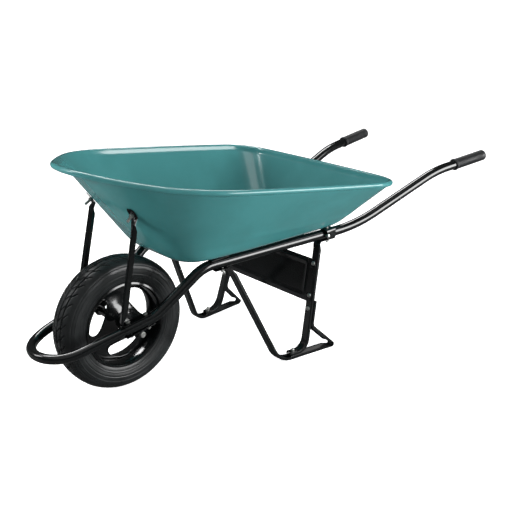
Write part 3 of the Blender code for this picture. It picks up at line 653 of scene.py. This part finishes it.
def zinc(name, base):
    """Zinc plating: bright metal with soft spangle and duller patches."""
    material, tree, shader = finish_base(name, base, 0.3, metallic=1.0)
    grain = group_node(tree, "Uneven finish", Fine_scale=1500.0, Coarse_scale=90.0)
    toned = blend_colours(tree, grain.outputs["Coarse"], shade(base, 0.78), shade(base, 1.08))
    link(tree, toned, shader.inputs["Base Color"])
    link(tree, ramp_node(tree, grain.outputs["Fine"], 0.0, 1.0, 0.24, 0.42), shader.inputs["Roughness"])
    add_bump(tree, shader, grain.outputs["Height"], 0.00003)
    return material


def studio_paper(name, base):
    """Matt studio paper with a faint tooth, blown out to white where it is seen directly."""
    material, tree, shader = finish_base(name, base, 0.9)
    grain = group_node(tree, "Uneven finish", Fine_scale=300.0, Coarse_scale=1.2)
    toned = blend_colours(tree, grain.outputs["Coarse"], shade(base, 0.995), base)
    path = tree.nodes.new("ShaderNodeLightPath")
    glossy, seen = path.outputs["Is Glossy Ray"], path.outputs["Is Camera Ray"]
    unseen = blend_colours(tree, glossy, shade(base, PAPER_AMBIENT), shade(base, PAPER_REFLECTED))
    link(tree, blend_colours(tree, seen, unseen, toned), shader.inputs["Base Color"])
    shader.inputs["Emission Color"].default_value = (1, 1, 1, 1)
    glow = math_node(tree, "MULTIPLY", seen, PAPER_GLOW)
    link(tree, glow, shader.inputs["Emission Strength"])
    add_bump(tree, shader, grain.outputs["Height"], 0.00005)
    return material


def finish(key):
    """The finish with this name, made the first time it is asked for."""
    ready = bpy.data.materials.get("barrow " + key)
    if ready:
        return ready
    colours = bpy.context.scene.barrow_colours
    name = "barrow " + key
    if key == "tray_enamel":
        base = tuple(colours.tray)
        return enamel(
            name,
            base,
            worn=shade(base, 1.5),
            wear_from=0.53,
            shine=0.48,
            gloss=(0.15, 0.21),
            peel=0.00006,
            dust_colour=(0.30, 0.34, 0.33),
            dust_height=0.60,
            dust_share=0.04,
        )
    if key == "frame_enamel":
        base = tuple(colours.frame)
        return enamel(
            name,
            base,
            worn=(0.045, 0.046, 0.045),
            wear_from=0.57,
            shine=0.60,
            gloss=(0.11, 0.17),
            peel=0.00003,
            dust_colour=(0.10, 0.10, 0.09),
            dust_height=0.20,
            dust_share=0.03,
        )
    if key == "tyre_rubber":
        return rubber(name, tuple(colours.rubber))
    if key == "grip_plastic":
        return grip_plastic(name, tuple(colours.grip))
    if key == "zinc":
        return zinc(name, tuple(colours.zinc))
    return studio_paper(name, tuple(colours.floor))


# ---------------------------------------------------------------- layout


def tube_y(x):
    """How far out the right handle tube runs at x."""
    return TUBE_AXLE_Y + TUBE_SPREAD * x


def tube_line():
    """The right handle tube's centre line."""
    corners = [Vector((x, tube_y(x), z)) for x, z in TUBE_PATH]
    return rounded(corners, TUBE_BENDS)


def tube_at(line, x):
    """The tube's centre and its direction at x."""
    for a, b in zip(line, line[1:]):
        if a.x <= x <= b.x and b.x > a.x:
            return a.lerp(b, (x - a.x) / (b.x - a.x)), (b - a).normalized()
    raise ValueError("no tube there")


def stood(points, side="right"):
    """Points laid out from the axle on the right, moved to their place on a side."""
    return [SIDES[side] @ point + STAND for point in points]


def leg_point(z, out):
    """A point on the front face of the splayed rear leg, out from its middle."""
    x = LEG_X - LEG_RAKE * (LEG_Z - z)
    return Vector((x, tube_y(x) + LEG_SPLAY * (LEG_TOP_Z - z) + out, z))


# ---------------------------------------------------------------- tray


def floor_height(x):
    """How high the tray's sloping floor is at x."""
    return FLOOR_Z + FLOOR_RISE * (x - FLOOR_FROM)


def floor_middle():
    """The middle of the tray's floor, measured from the axle."""
    return Vector((FLOOR_MIDDLE_X, 0, floor_height(FLOOR_MIDDLE_X)))


def curved(start, corner, end, t):
    """A point on the curve that rounds a corner, from its start at 0 to its end at 1."""
    return start * (1 - t) ** 2 + corner * (2 * t * (1 - t)) + end * t**2


def tray_column(top, edge, out, roll):
    """The tray's outer face in one upright strip, from the floor's middle to the rolled rim."""
    lip = max(0.0, top.z)
    rim = Vector((top.x, top.y, RIM_Z - RIM_FALL * top.x + LIP_RISE * lip))
    edge = Vector((edge.x, edge.y, floor_height(edge.x)))
    inward_x = FLOOR_MIDDLE_X + 0.6 * (edge.x - FLOOR_MIDDLE_X)
    inward = Vector((inward_x, 0, floor_height(inward_x)))
    shoulder = rim - out * (LIP_REACH * lip + SHOULDER_IN) - UP * (SHOULDER_DROP + LIP_DROP * lip)
    to_floor = (inward - edge).normalized()
    to_wall = (shoulder - edge).normalized()
    setback = FLOOR_BEND + FLOOR_BEND_AT_ENDS * abs(out.x)
    start = edge + to_floor * setback
    end = edge + to_wall * (setback + FLOOR_BEND_UP)
    column = [floor_middle().lerp(start, share) for share in (0.2, 0.45, 0.7, 0.9)]
    column += [curved(start, edge, end, i / 10) for i in range(11)]
    rise = (rim - shoulder).normalized()
    outward = (out - rise * out.dot(rise)).normalized()
    if lip > 0.5:
        outward = (outward - UP * 0.2 * min(1.0, (lip - 0.5) * 4)).normalized()
    wall_out = (out - to_wall * out.dot(to_wall)).normalized()
    ledge_depth, ledge_place, ledge_width = LEDGE
    for i in range(1, 22):
        share = i / 22
        ledge = ledge_depth * math.exp(-(((share - ledge_place) / ledge_width) ** 2)) * abs(out.y) ** 3
        column.append(end.lerp(shoulder, share) + wall_out * ledge)
    foot = rim - outward * roll
    bend_from = column[-1]
    column += [curved(bend_from, shoulder, foot, i / 6) for i in range(1, 6)]
    for i in range(21):
        turn = math.radians(ROLL_TURN * i / 20)
        column.append(rim - outward * (roll * math.cos(turn)) + rise * (roll * math.sin(turn)))
    return column


def tray_mesh(roll):
    """The tray's outer face: columns all round it, which meet in the floor's middle."""
    rim = smooth([(*spot, lip) for spot, _, lip in TRAY_PLAN], 7)
    floor = smooth([(*spot, 0) for _, spot, _ in TRAY_PLAN], 7)
    half = []
    for i, (top, edge) in enumerate(zip(rim, floor)):
        ahead = rim[i + 1] if i + 1 < len(rim) else MIRROR @ rim[i - 1]
        behind = rim[i - 1] if i else MIRROR @ rim[1]
        along = Vector((ahead.x - behind.x, ahead.y - behind.y, 0)).normalized()
        half.append(tray_column(top, edge, Vector((-along.y, along.x, 0)), roll))
    columns = half + [[MIRROR @ point for point in column] for column in reversed(half[1:-1])]
    count = len(columns[0])
    points = stood([*[point for column in columns for point in column], floor_middle()])
    faces = []
    for i in range(len(columns)):
        here = i * count
        there = (i + 1) % len(columns) * count
        faces.append((here, len(points) - 1, there))
        for j in range(count - 1):
            faces.append((here + j, there + j, there + j + 1, here + j + 1))
    return mesh_of("tray_pressing", points, faces, 60)


class BARROW_OT_tray(bpy.types.Operator):
    """Press the tray from one sheet and roll its rim"""

    bl_idname = "barrow.tray"
    bl_label = "Tray"

    def execute(self, context):
        sizes = context.scene.barrow_sizes
        teal = finish("tray_enamel")
        tray = piece("tray_pressing", tray_mesh(sizes.roll), teal, "frame", ["tray"])
        middle = floor_middle() + STAND
        floor_face = min(tray.data.polygons, key=lambda face: (face.center - middle).length)
        if floor_face.normal.z > 0:
            tray.data.flip_normals()
        sheet = tray.modifiers.new("Sheet", "SOLIDIFY")
        sheet.thickness = sizes.sheet
        sheet.offset = -1
        sheet.use_even_offset = True
        return {"FINISHED"}


# ---------------------------------------------------------------- wheel


def both_edges(profile):
    """A half profile, followed by its mirror image towards the left."""
    return [*profile, *[(radius, -along) for radius, along in reversed(profile[:-1])]]


def tyre_profile():
    """The tyre's outside from the right bead over the crown to the left bead, finely divided."""
    half = smooth([(radius, along, 0) for radius, along in TYRE_CROWN], 8)
    right = [(point.x, point.y) for point in half]
    outline = both_edges(right)
    dense = []
    for (r1, a1), (r2, a2) in zip(outline, outline[1:]):
        dense += [(r1, a1), ((r1 + r2) / 2, (a1 + a2) / 2)]
    return [*dense, outline[-1]]


def band(value, middle, width):
    """1 inside a band, easing to 0 at its edges."""
    return 1 / (1 + (abs(value - middle) / width) ** 8)


def tread_cut(radius, along, turn, depth):
    """How far the tyre's surface is cut in, or raised if negative, at a place on it."""
    across = abs(along)
    cut = 0.0
    if across < TREAD_HALF and radius > TREAD_FROM_RADIUS:
        for groove in TREAD_GROOVES:
            cut = max(cut, depth * band(across, groove, TREAD_GROOVE_WIDTH))
        phase = (turn * TREAD_BLOCKS / (2 * math.pi) + across * TREAD_SLANT) % 1.0
        for inner, outer, place, width in TREAD_CUTS:
            if inner < across < outer:
                cut = max(cut, depth * TREAD_CUT_DEPTH * band(phase, place, width))
    if radius < SIDEWALL_TO_RADIUS:
        for ring, width, height in SIDEWALL_RINGS:
            cut -= height * math.exp(-(((radius - ring) / width) ** 2))
    return cut


def outward_directions(outline):
    """The direction straight out of an outline at each of its points."""
    directions = []
    for i in range(len(outline)):
        r1, a1 = outline[max(i - 1, 0)]
        r2, a2 = outline[min(i + 1, len(outline) - 1)]
        length = math.hypot(r2 - r1, a2 - a1)
        directions.append((-(a2 - a1) / length, (r2 - r1) / length))
    return directions


def tyre_mesh(depth):
    """The tyre's shell, its outside cut in step by step and its inside plain."""
    outline = tyre_profile()
    directions = outward_directions(outline)
    points = []
    for i in range(TYRE_STEPS):
        turn = 2 * math.pi * i / TYRE_STEPS
        spoke = Vector((math.cos(turn), 0, math.sin(turn)))
        for (radius, along), (out_r, out_a) in zip(outline, directions):
            cut = tread_cut(radius, along, turn, depth)
            points.append(AXLE + spoke * (radius - out_r * cut) + RIGHT * (along - out_a * cut))
        points += [AXLE + spoke * radius + RIGHT * along for radius, along in TYRE_BEADS]
    faces = turned_faces(TYRE_STEPS, len(outline) + len(TYRE_BEADS))
    return mesh_of("tyre_carcass", points, faces, 50)


class BARROW_OT_tyre(bpy.types.Operator):
    """Mould the tyre with its tread, shoulder ribs and ringed sidewalls"""

    bl_idname = "barrow.tyre"
    bl_label = "Tyre"

    def execute(self, context):
        depth = context.scene.barrow_sizes.tread
        piece("tyre_carcass", tyre_mesh(depth), finish("tyre_rubber"), "wheel", ["tyre"])
        return {"FINISHED"}


def disc_level(radius):
    """Where the disc's left face lies at a radius."""
    for (r1, a1), (r2, a2) in zip(DISC_FACE, DISC_FACE[1:]):
        if r2 <= radius <= r1:
            return a1 + (a2 - a1) * (radius - r1) / (r2 - r1)
    return DISC_FACE[0][1]


def window_outline(degrees, grow, steps=64):
    """Points round a window as (radius, angle)."""
    outline = []
    low, high = WINDOW_RADII
    for i in range(steps):
        turn = 2 * math.pi * i / steps
        radius = (low + high) / 2 + ((high - low) / 2 + grow) * math.sin(turn)
        swing = (WINDOW_HALF_ANGLE + grow / radius) * math.cos(turn)
        outline.append((radius, math.radians(degrees) + swing))
    return outline


def wheel_spot(radius, angle, along):
    """A place on the wheel, from its radius, its angle and its distance to the right."""
    return AXLE + Vector((radius * math.cos(angle), along, radius * math.sin(angle)))


def window_lip(name, degrees):
    """The turned-over lip round a window."""
    rings = []
    wide, high = WINDOW_LIP_HALF
    outline = window_outline(degrees, WINDOW_LIP_OUT)
    further = window_outline(degrees, WINDOW_LIP_OUT + 0.0020)
    for (radius, angle), outer in zip(outline, further):
        centre = wheel_spot(radius, angle, disc_level(radius) - WINDOW_LIP_SUNK)
        out = (wheel_spot(*outer, 0) - wheel_spot(radius, angle, 0)).normalized()
        turns = [2 * math.pi * j / 12 for j in range(12)]
        rings.append(
            [centre + out * (wide * math.cos(turn)) + RIGHT * (high * math.sin(turn)) for turn in turns]
        )
    return loft(name, rings, closed_path=True)


def window_cutter(degrees):
    """A plug with a window's outline, long enough to go through the disc."""
    outline = window_outline(degrees, 0.0)
    return loft("window", [[wheel_spot(*spot, along) for spot in outline] for along in (-0.05, 0.05)])


def loose(name, mesh):
    """A mesh in the scene as an object, its faces outwards."""
    obj = bpy.data.objects.new(name, mesh)
    bpy.context.scene.collection.objects.link(obj)
    face_outwards(obj)
    return obj


def disc_mesh():
    """The pressed disc with its windows cut out."""
    face = [Vector((radius, along, 0)) for radius, along in DISC_FACE]
    front = [(point.x, point.y) for point in smooth(face, 5)]
    back = [(radius, along + DISC_THICKNESS) for radius, along in reversed(front)]
    blank = loose("disc", lathe("disc", [*front, *back, *DISC_FLANGE], AXLE))
    tools = [loose("window", window_cutter(degrees)) for degrees in WINDOW_ANGLES]
    for tool in tools:
        cut = blank.modifiers.new("Window", "BOOLEAN")
        cut.operation = "DIFFERENCE"
        cut.solver = "EXACT"
        cut.object = tool
    graph = bpy.context.evaluated_depsgraph_get()
    mesh = bpy.data.meshes.new_from_object(blank.evaluated_get(graph), depsgraph=graph)
    for obj in [blank, *tools]:
        bpy.data.objects.remove(obj)
    mesh.name = "disc_pressing"
    mesh.shade_smooth()
    mesh.set_sharp_from_angle(angle=math.radians(40))
    return mesh


class BARROW_OT_wheel(bpy.types.Operator):
    """Turn the rim, press the disc and turn over the lips of its windows"""

    bl_idname = "barrow.wheel"
    bl_label = "Wheel"

    def execute(self, context):
        black = finish("frame_enamel")
        outside = both_edges(RIM_OUTSIDE)
        inside = [(radius, -along) for radius, along in both_edges(list(reversed(RIM_INSIDE)))]
        rim = lathe("rim_well", [*outside, *inside], AXLE)
        piece("rim_well", rim, black, "wheel", ["wheel_rim"])
        piece("disc_pressing", disc_mesh(), black, "wheel", ["wheel_disc"])
        for number, degrees in enumerate(WINDOW_ANGLES, 1):
            name = f"window_lip_{number}"
            piece(name, window_lip(name, degrees), black, "wheel")
        return {"FINISHED"}


# ---------------------------------------------------------------- tubes and grips


class BARROW_OT_tubes(bpy.types.Operator):
    """Bend the two handle tubes and the bumper tube"""

    bl_idname = "barrow.tubes"
    bl_label = "Tubes"

    def execute(self, context):
        sizes = context.scene.barrow_sizes
        black = finish("frame_enamel")
        line = tube_line()
        for side in SIDES:
            name = f"bent_handle_{side}"
            mesh = pipe(name, stood(line, side), sizes.tube)
            piece(name, mesh, black, "frame", [f"handle_tube_{side}"])
        start, along = tube_at(line, BUMPER_JOIN_X)
        half = [start - along * BUMPER_STRAIGHT, *[Vector(point) for point in BUMPER_CURVE]]
        loop = smooth(half + [MIRROR @ point for point in reversed(half[:-1])], 6)
        inside = start + along * BUMPER_INSIDE_TUBE
        path = [inside, start, *loop, MIRROR @ start, MIRROR @ inside]
        mesh = pipe("bumper_loop", stood(path), sizes.bumper)
        piece("bumper_loop", mesh, black, "frame", ["bumper_tube"])
        return {"FINISHED"}


def grip_profile(radius, ribs):
    """The grip's outline: a collar, a ribbed sleeve and a rounded end."""
    outline = [*GRIP_COLLAR, (radius + 0.0003, 0.0090)]
    first, last = GRIP_RIBS_FROM, GRIP_LENGTH - GRIP_RIBS_BEFORE_END
    pitch = (last - first) / max(1, ribs)
    for i in range(ribs):
        start = first + i * pitch
        outline += [
            (radius + 0.0001, start),
            (radius + 0.0001, start + pitch * 0.40),
            (radius + 0.0009, start + pitch * 0.55),
            (radius + 0.0009, start + pitch * 0.85),
        ]
    outline += [(radius + 0.0001, last), (radius + 0.0010, last + 0.004)]
    for i in range(7):
        turn = math.pi / 2 * i / 6
        reach = radius - 0.0045 + GRIP_END_ROUND * math.cos(turn)
        outline.append((reach, GRIP_LENGTH - GRIP_END_ROUND + GRIP_END_ROUND * math.sin(turn)))
    outline.append((0.0004, GRIP_LENGTH))
    return outline


class BARROW_OT_grips(bpy.types.Operator):
    """Push the ribbed grips onto the handles"""

    bl_idname = "barrow.grips"
    bl_label = "Grips"

    def execute(self, context):
        sizes = context.scene.barrow_sizes
        line = tube_line()
        along = (line[-1] - line[-2]).normalized()
        start = line[-1] - along * ((line[-1].x - GRIP_START_X) / along.x)
        profile = grip_profile(sizes.grip, sizes.grip_ribs)
        for side, matrix in SIDES.items():
            name = f"ribbed_grip_{side}"
            axis = (matrix @ along).normalized()
            mesh = lathe(name, profile, matrix @ start + STAND, axis, 64)
            piece(name, mesh, finish("grip_plastic"), "frame", [f"grip_{side}"])
        return {"FINISHED"}


# ---------------------------------------------------------------- legs


def panel_half_width(share):
    """How far the panel's side stands out from the leg's middle, from its foot (0) to its head (1)."""
    low, high = PANEL_Z
    from_end = min(share, 1 - share) * (high - low)
    if from_end >= PANEL_CORNER:
        return PANEL_OVERLAP
    rounding = math.sqrt(max(0.0, PANEL_CORNER**2 - (PANEL_CORNER - from_end) ** 2))
    return PANEL_OVERLAP - PANEL_CORNER + rounding


def panel_mesh(press):
    """The leg panel, with a border pressed forwards and a shallow field inside it."""
    low, high = PANEL_Z
    rows, columns = PANEL_GRID
    points = []
    for i in range(rows + 1):
        share = i / rows
        z = low + (high - low) * share
        edge = leg_point(z, panel_half_width(share))
        for j in range(columns + 1):
            across = 2 * j / columns - 1
            spot = Vector((edge.x, edge.y * across, z))
            to_side = edge.y * (1 - abs(across)) - BORDER_FROM_SIDE
            to_end = min(share, 1 - share) * (high - low) - BORDER_FROM_END
            inset = min(to_side, to_end)
            if to_side < BORDER_CORNER and to_end < BORDER_CORNER:
                inset = BORDER_CORNER - math.hypot(BORDER_CORNER - to_side, BORDER_CORNER - to_end)
            height = press * 0.7 * math.exp(-(((inset - 0.004) / 0.0026) ** 2))
            height -= press * 0.25 / (1 + math.exp(-(inset - 0.010) / 0.0012))
            points.append(spot + STAND + LEG_FRONT * (PANEL_CLEAR + PANEL_THICKNESS + height))
    faces = []
    for i in range(rows):
        for j in range(columns):
            here = i * (columns + 1) + j
            faces.append((here, here + 1, here + columns + 2, here + columns + 1))
    return mesh_of("pressed_panel", points, faces)


class BARROW_OT_legs(bpy.types.Operator):
    """Press the leg panel, and round the edges of the channels, brackets and axle pieces"""

    bl_idname = "barrow.legs"
    bl_label = "Legs and brackets"

    def execute(self, context):
        black = finish("frame_enamel")
        press = context.scene.barrow_sizes.panel_press
        panel = piece("pressed_panel", panel_mesh(press), black, "frame", ["leg_panel"])
        if panel.data.polygons[0].normal.dot(LEG_FRONT) < 0:
            panel.data.flip_normals()
        sheet = panel.modifiers.new("Sheet", "SOLIDIFY")
        sheet.thickness = PANEL_THICKNESS
        sheet.offset = -1
        for name, node in frame["nodes"].items():
            for start, width in KEPT_NODES.items():
                if name.startswith(start) and not name.startswith("axle_nut"):
                    metal = finish("zinc") if name in ("axle", "bearing_left", "bearing_right") else black
                    keep_node(node, metal, width)
                    break
        return {"FINISHED"}


def keep_node(node, material, width):
    """Gives a frame piece a finish and slightly rounded edges, without touching its shape."""
    mesh = node.data
    normals = mesh.attributes.get("custom_normal")
    if normals:
        mesh.attributes.remove(normals)
    mesh.shade_smooth()
    mesh.materials.clear()
    mesh.materials.append(material)
    weld = node.modifiers.new("Weld", "WELD")
    weld.merge_threshold = 0.00002
    bevel = node.modifiers.new("Edges", "BEVEL")
    bevel.width = width
    bevel.segments = 2
    bevel.limit_method = "ANGLE"
    bevel.angle_limit = math.radians(32)
    bevel.harden_normals = True
    even = node.modifiers.new("Even shading", "WEIGHTED_NORMAL")
    even.keep_sharp = True


# ---------------------------------------------------------------- fasteners


def node_axis(mesh):
    """The direction that most of a fastener's face area looks along."""
    best = {}
    for face in mesh.polygons:
        normal = face.normal.copy()
        for axis in best:
            if abs(normal.dot(Vector(axis))) > 0.995:
                best[axis] += face.area
                break
        else:
            best[tuple(normal)] = face.area
    return Vector(max(best, key=best.get)).normalized()


def node_levels(mesh, axis):
    """The fastener's centre and its levels along the axis, as (distance, largest radius)."""
    points = np.array([vertex.co for vertex in mesh.vertices])
    along = points @ np.array(axis)
    flat = points - np.outer(along, np.array(axis))
    centre = (flat.min(0) + flat.max(0)) / 2
    reach = np.linalg.norm(flat - centre, axis=1)
    steps = np.round(along, 4)
    levels = []
    for level in sorted(set(steps)):
        radius = float(reach[steps == level].max())
        if levels and level - levels[-1][0] < 0.00025:
            levels[-1] = (levels[-1][0], max(levels[-1][1], radius))
        else:
            levels.append((float(level), radius))
    return Vector(centre), levels


def hexagon_reach(angle, corner):
    """How far a hexagon's side is from its centre at an angle."""
    local = (angle % (math.pi / 3)) - math.pi / 6
    return corner * math.cos(math.pi / 6) / math.cos(local)


def fastener_ring(centre, axis, side, other, level, radius, hexagon, limit, steps=48):
    """One ring of a fastener, round or a hexagon whose corners are cut back to a limit."""
    ring = []
    for i in range(steps):
        turn = 2 * math.pi * i / steps
        reach = min(hexagon_reach(turn, radius), radius * limit) if hexagon else radius
        spoke = side * math.cos(turn) + other * math.sin(turn)
        ring.append(centre + axis * level + spoke * reach)
    return ring


def nut_rows(start, end, corner):
    """A hexagon with its corners chamfered at both faces."""
    step = (end - start) * NUT_CHAMFER
    return [
        (start, corner, True, NUT_FACE),
        (start + step, corner, True, 1.0),
        (end - step, corner, True, 1.0),
        (end, corner, True, NUT_FACE),
    ]


def thread_rows(start, end, radius):
    """Threads from the nut to the bolt's end, with a small chamfer on the tip."""
    turns = max(2, int(abs(end - start) / THREAD_STEP))
    rows = []
    for i in range(turns):
        share = i / turns
        place = start + (end - start) * share
        half = (end - start) / turns / 2
        rows.append((place, radius * THREAD_ROOT, False, 1.0))
        rows.append((place + half, radius, False, 1.0))
    rows.append((end, radius * THREAD_TIP, False, 1.0))
    return rows


def head_rows(top, plane, wide, domed):
    """A hexagon head, or a domed one that is slightly flattened on top."""
    if not domed:
        return nut_rows(top, plane, wide)
    rows = []
    for i in range(1, 8):
        turn = math.pi / 2 * i / 7
        level = plane + (top - plane) * math.cos(turn) ** 0.9 * 1.08
        rows.append((level, wide * math.sin(turn) ** 0.85, False, 1.0))
    return rows


def fastener_mesh(name, node):
    """A finely shaped bolt and nut on the places of the frame's plain one."""
    axis = node_axis(node.data)
    centre, levels = node_levels(node.data, axis)
    if name.startswith("axle_nut"):
        rows = nut_rows(levels[0][0], levels[-1][0], max(radius for _, radius in levels))
    else:
        if levels[-1][1] > levels[0][1]:
            levels.reverse()
        head, plane, nut, nut_end = levels[0], levels[1], levels[2], levels[-2]
        shank = levels[-1][1] / 0.87
        domed = head[1] < plane[1] * 0.9
        rows = head_rows(head[0], plane[0], plane[1], domed)
        rows += [(plane[0], shank, False, 1.0), (nut[0], shank, False, 1.0)]
        rows += nut_rows(nut[0], nut_end[0], nut[1])
        rows += thread_rows(nut_end[0], levels[-1][0], shank)
    side = axis.orthogonal().normalized()
    other = axis.cross(side)
    rings = [
        fastener_ring(centre, axis, side, other, level, radius, hexagon, limit)
        for level, radius, hexagon, limit in rows
    ]
    return loft(name, rings, smooth_angle=28)


class BARROW_OT_fasteners(bpy.types.Operator):
    """Thread every bolt and chamfer every nut"""

    bl_idname = "barrow.fasteners"
    bl_label = "Fasteners"

    def execute(self, context):
        for name, node in frame["nodes"].items():
            nut = name.startswith("axle_nut")
            if "_bolt_" not in name and not nut:
                continue
            slot = "frame_enamel" if nut else "zinc"
            turned = ("turned_" + name).replace("__", "_")
            mesh = fastener_mesh(name, node)
            piece(turned, mesh, finish(slot), "frame", [name])
        return {"FINISHED"}


# ---------------------------------------------------------------- stage


def soft_light(name, place, aim, size, power):
    """A rectangular light that looks from its place at what it is aimed at."""
    lamp = bpy.data.lights.new(name, "AREA")
    lamp.shape = "RECTANGLE"
    lamp.size, lamp.size_y = size
    lamp.energy = power
    obj = bpy.data.objects.new(name, lamp)
    obj.location = place
    obj.rotation_euler = (Vector(aim) - Vector(place)).to_track_quat("-Z", "Y").to_euler()
    obj.visible_diffuse = name not in ONLY_REFLECTED
    obj.visible_glossy = name not in NOT_REFLECTED
    bpy.context.scene.collection.objects.link(obj)


def sky_light():
    """A broad, faint light from above."""
    sun = bpy.data.lights.new("soft sky", "SUN")
    sun.energy = 0.35
    sun.angle = math.radians(75)
    lamp = bpy.data.objects.new("soft sky", sun)
    lamp.rotation_euler = (math.radians(18), math.radians(-22), 0)
    bpy.context.scene.collection.objects.link(lamp)


def paper_floor(right, away):
    """The paper sweep, level across and curving up at its far end."""
    rows = []
    for forward, height in paper_sweep():
        rows.append([away * forward + right * across + UP * height for across in PAPER_ACROSS])
    count = len(PAPER_ACROSS)
    faces = []
    for i in range(len(rows) - 1):
        for j in range(count - 1):
            here = i * count + j
            faces.append((here, here + 1, here + count + 1, here + count))
    spots = [spot for row in rows for spot in row]
    floor = bpy.data.objects.new("floor", mesh_of("floor", spots, faces, 60))
    floor.data.materials.append(finish("floor"))
    bpy.context.scene.collection.objects.link(floor)


def camera_stand(right, look):
    """The camera at its place, level and looking along a direction."""
    camera = bpy.data.cameras.new("camera")
    camera.sensor_width = 36
    camera.lens = CAMERA_LENS
    camera.clip_end = 100
    stand = bpy.data.objects.new("camera", camera)
    turned = Matrix((right, right.cross(look), -look)).transposed().to_4x4()
    turned.translation = CAMERA_PLACE
    stand.matrix_world = turned
    bpy.context.scene.collection.objects.link(stand)
    bpy.context.scene.camera = stand


class BARROW_OT_stage(bpy.types.Operator):
    """Set up the studio: paper sweep, soft lights and camera"""

    bl_idname = "barrow.stage"
    bl_label = "Studio"

    def execute(self, context):
        right = Vector((math.cos(CAMERA_HEADING), -math.sin(CAMERA_HEADING), 0))
        away = Vector((math.sin(CAMERA_HEADING), math.cos(CAMERA_HEADING), 0))
        look = away * math.cos(CAMERA_DIP) - UP * math.sin(CAMERA_DIP)
        paper_floor(right, away)
        for name, setting in LIGHTS.items():
            soft_light(name, *setting)
        sky_light()
        world = bpy.data.worlds.new("studio")
        world.use_nodes = True
        paint_world(world.node_tree)
        context.scene.world = world
        context.scene.view_settings.view_transform = "Standard"
        camera_stand(right, look)
        return {"FINISHED"}


def paint_world(tree):
    """White where the camera sees it, a dim surround for the lighting, and dimmer in reflections."""
    sky = tree.nodes["Background"]
    sky.inputs["Color"].default_value = (1, 1, 1, 1)
    path = tree.nodes.new("ShaderNodeLightPath")
    unseen = ramp_node(tree, path.outputs["Is Glossy Ray"], 0.0, 1.0, SKY_AMBIENT, SKY_REFLECTED)
    strength = math_node(tree, "MAXIMUM", unseen, path.outputs["Is Camera Ray"])
    link(tree, strength, sky.inputs["Strength"])


def paper_sweep():
    """The floor and backdrop in profile, as (distance away, height)."""
    points = [(PAPER_NEAR, 0.0), (0.0, 0.0), (PAPER_FAR, 0.0)]
    for i in range(1, 7):
        turn = math.radians(30) * i / 6
        points.append((PAPER_FAR + PAPER_CURVE * math.sin(turn), PAPER_CURVE * (1 - math.cos(turn))))
    return points


# ---------------------------------------------------------------- add-on


OPERATORS = (
    BARROW_OT_tray,
    BARROW_OT_tyre,
    BARROW_OT_wheel,
    BARROW_OT_tubes,
    BARROW_OT_grips,
    BARROW_OT_legs,
    BARROW_OT_fasteners,
    BARROW_OT_stage,
)


class BARROW_PT_panel(bpy.types.Panel):
    """Lists the wheelbarrow's sizes, colours and pieces"""

    bl_idname = "BARROW_PT_panel"
    bl_label = "Wheelbarrow"
    bl_space_type = "VIEW_3D"
    bl_region_type = "UI"
    bl_category = "Wheelbarrow"

    def draw(self, context):
        for group in (context.scene.barrow_sizes, context.scene.barrow_colours):
            column = self.layout.column(align=True)
            for name in group.__annotations__:
                column.prop(group, name)
        for operator in OPERATORS:
            self.layout.operator(operator.bl_idname)


CLASSES = (BarrowSizes, BarrowColours, *OPERATORS, BARROW_PT_panel)


def register():
    for cls in CLASSES:
        bpy.utils.register_class(cls)
    bpy.types.Scene.barrow_sizes = PointerProperty(type=BarrowSizes)
    bpy.types.Scene.barrow_colours = PointerProperty(type=BarrowColours)


def unregister():
    del bpy.types.Scene.barrow_colours
    del bpy.types.Scene.barrow_sizes
    for cls in reversed(CLASSES):
        bpy.utils.unregister_class(cls)


def main():
    register()
    bpy.ops.barrow.tray()
    bpy.ops.barrow.tyre()
    bpy.ops.barrow.wheel()
    bpy.ops.barrow.tubes()
    bpy.ops.barrow.grips()
    bpy.ops.barrow.legs()
    bpy.ops.barrow.fasteners()
    bpy.ops.barrow.stage()


if __name__ == "__main__":
    main()
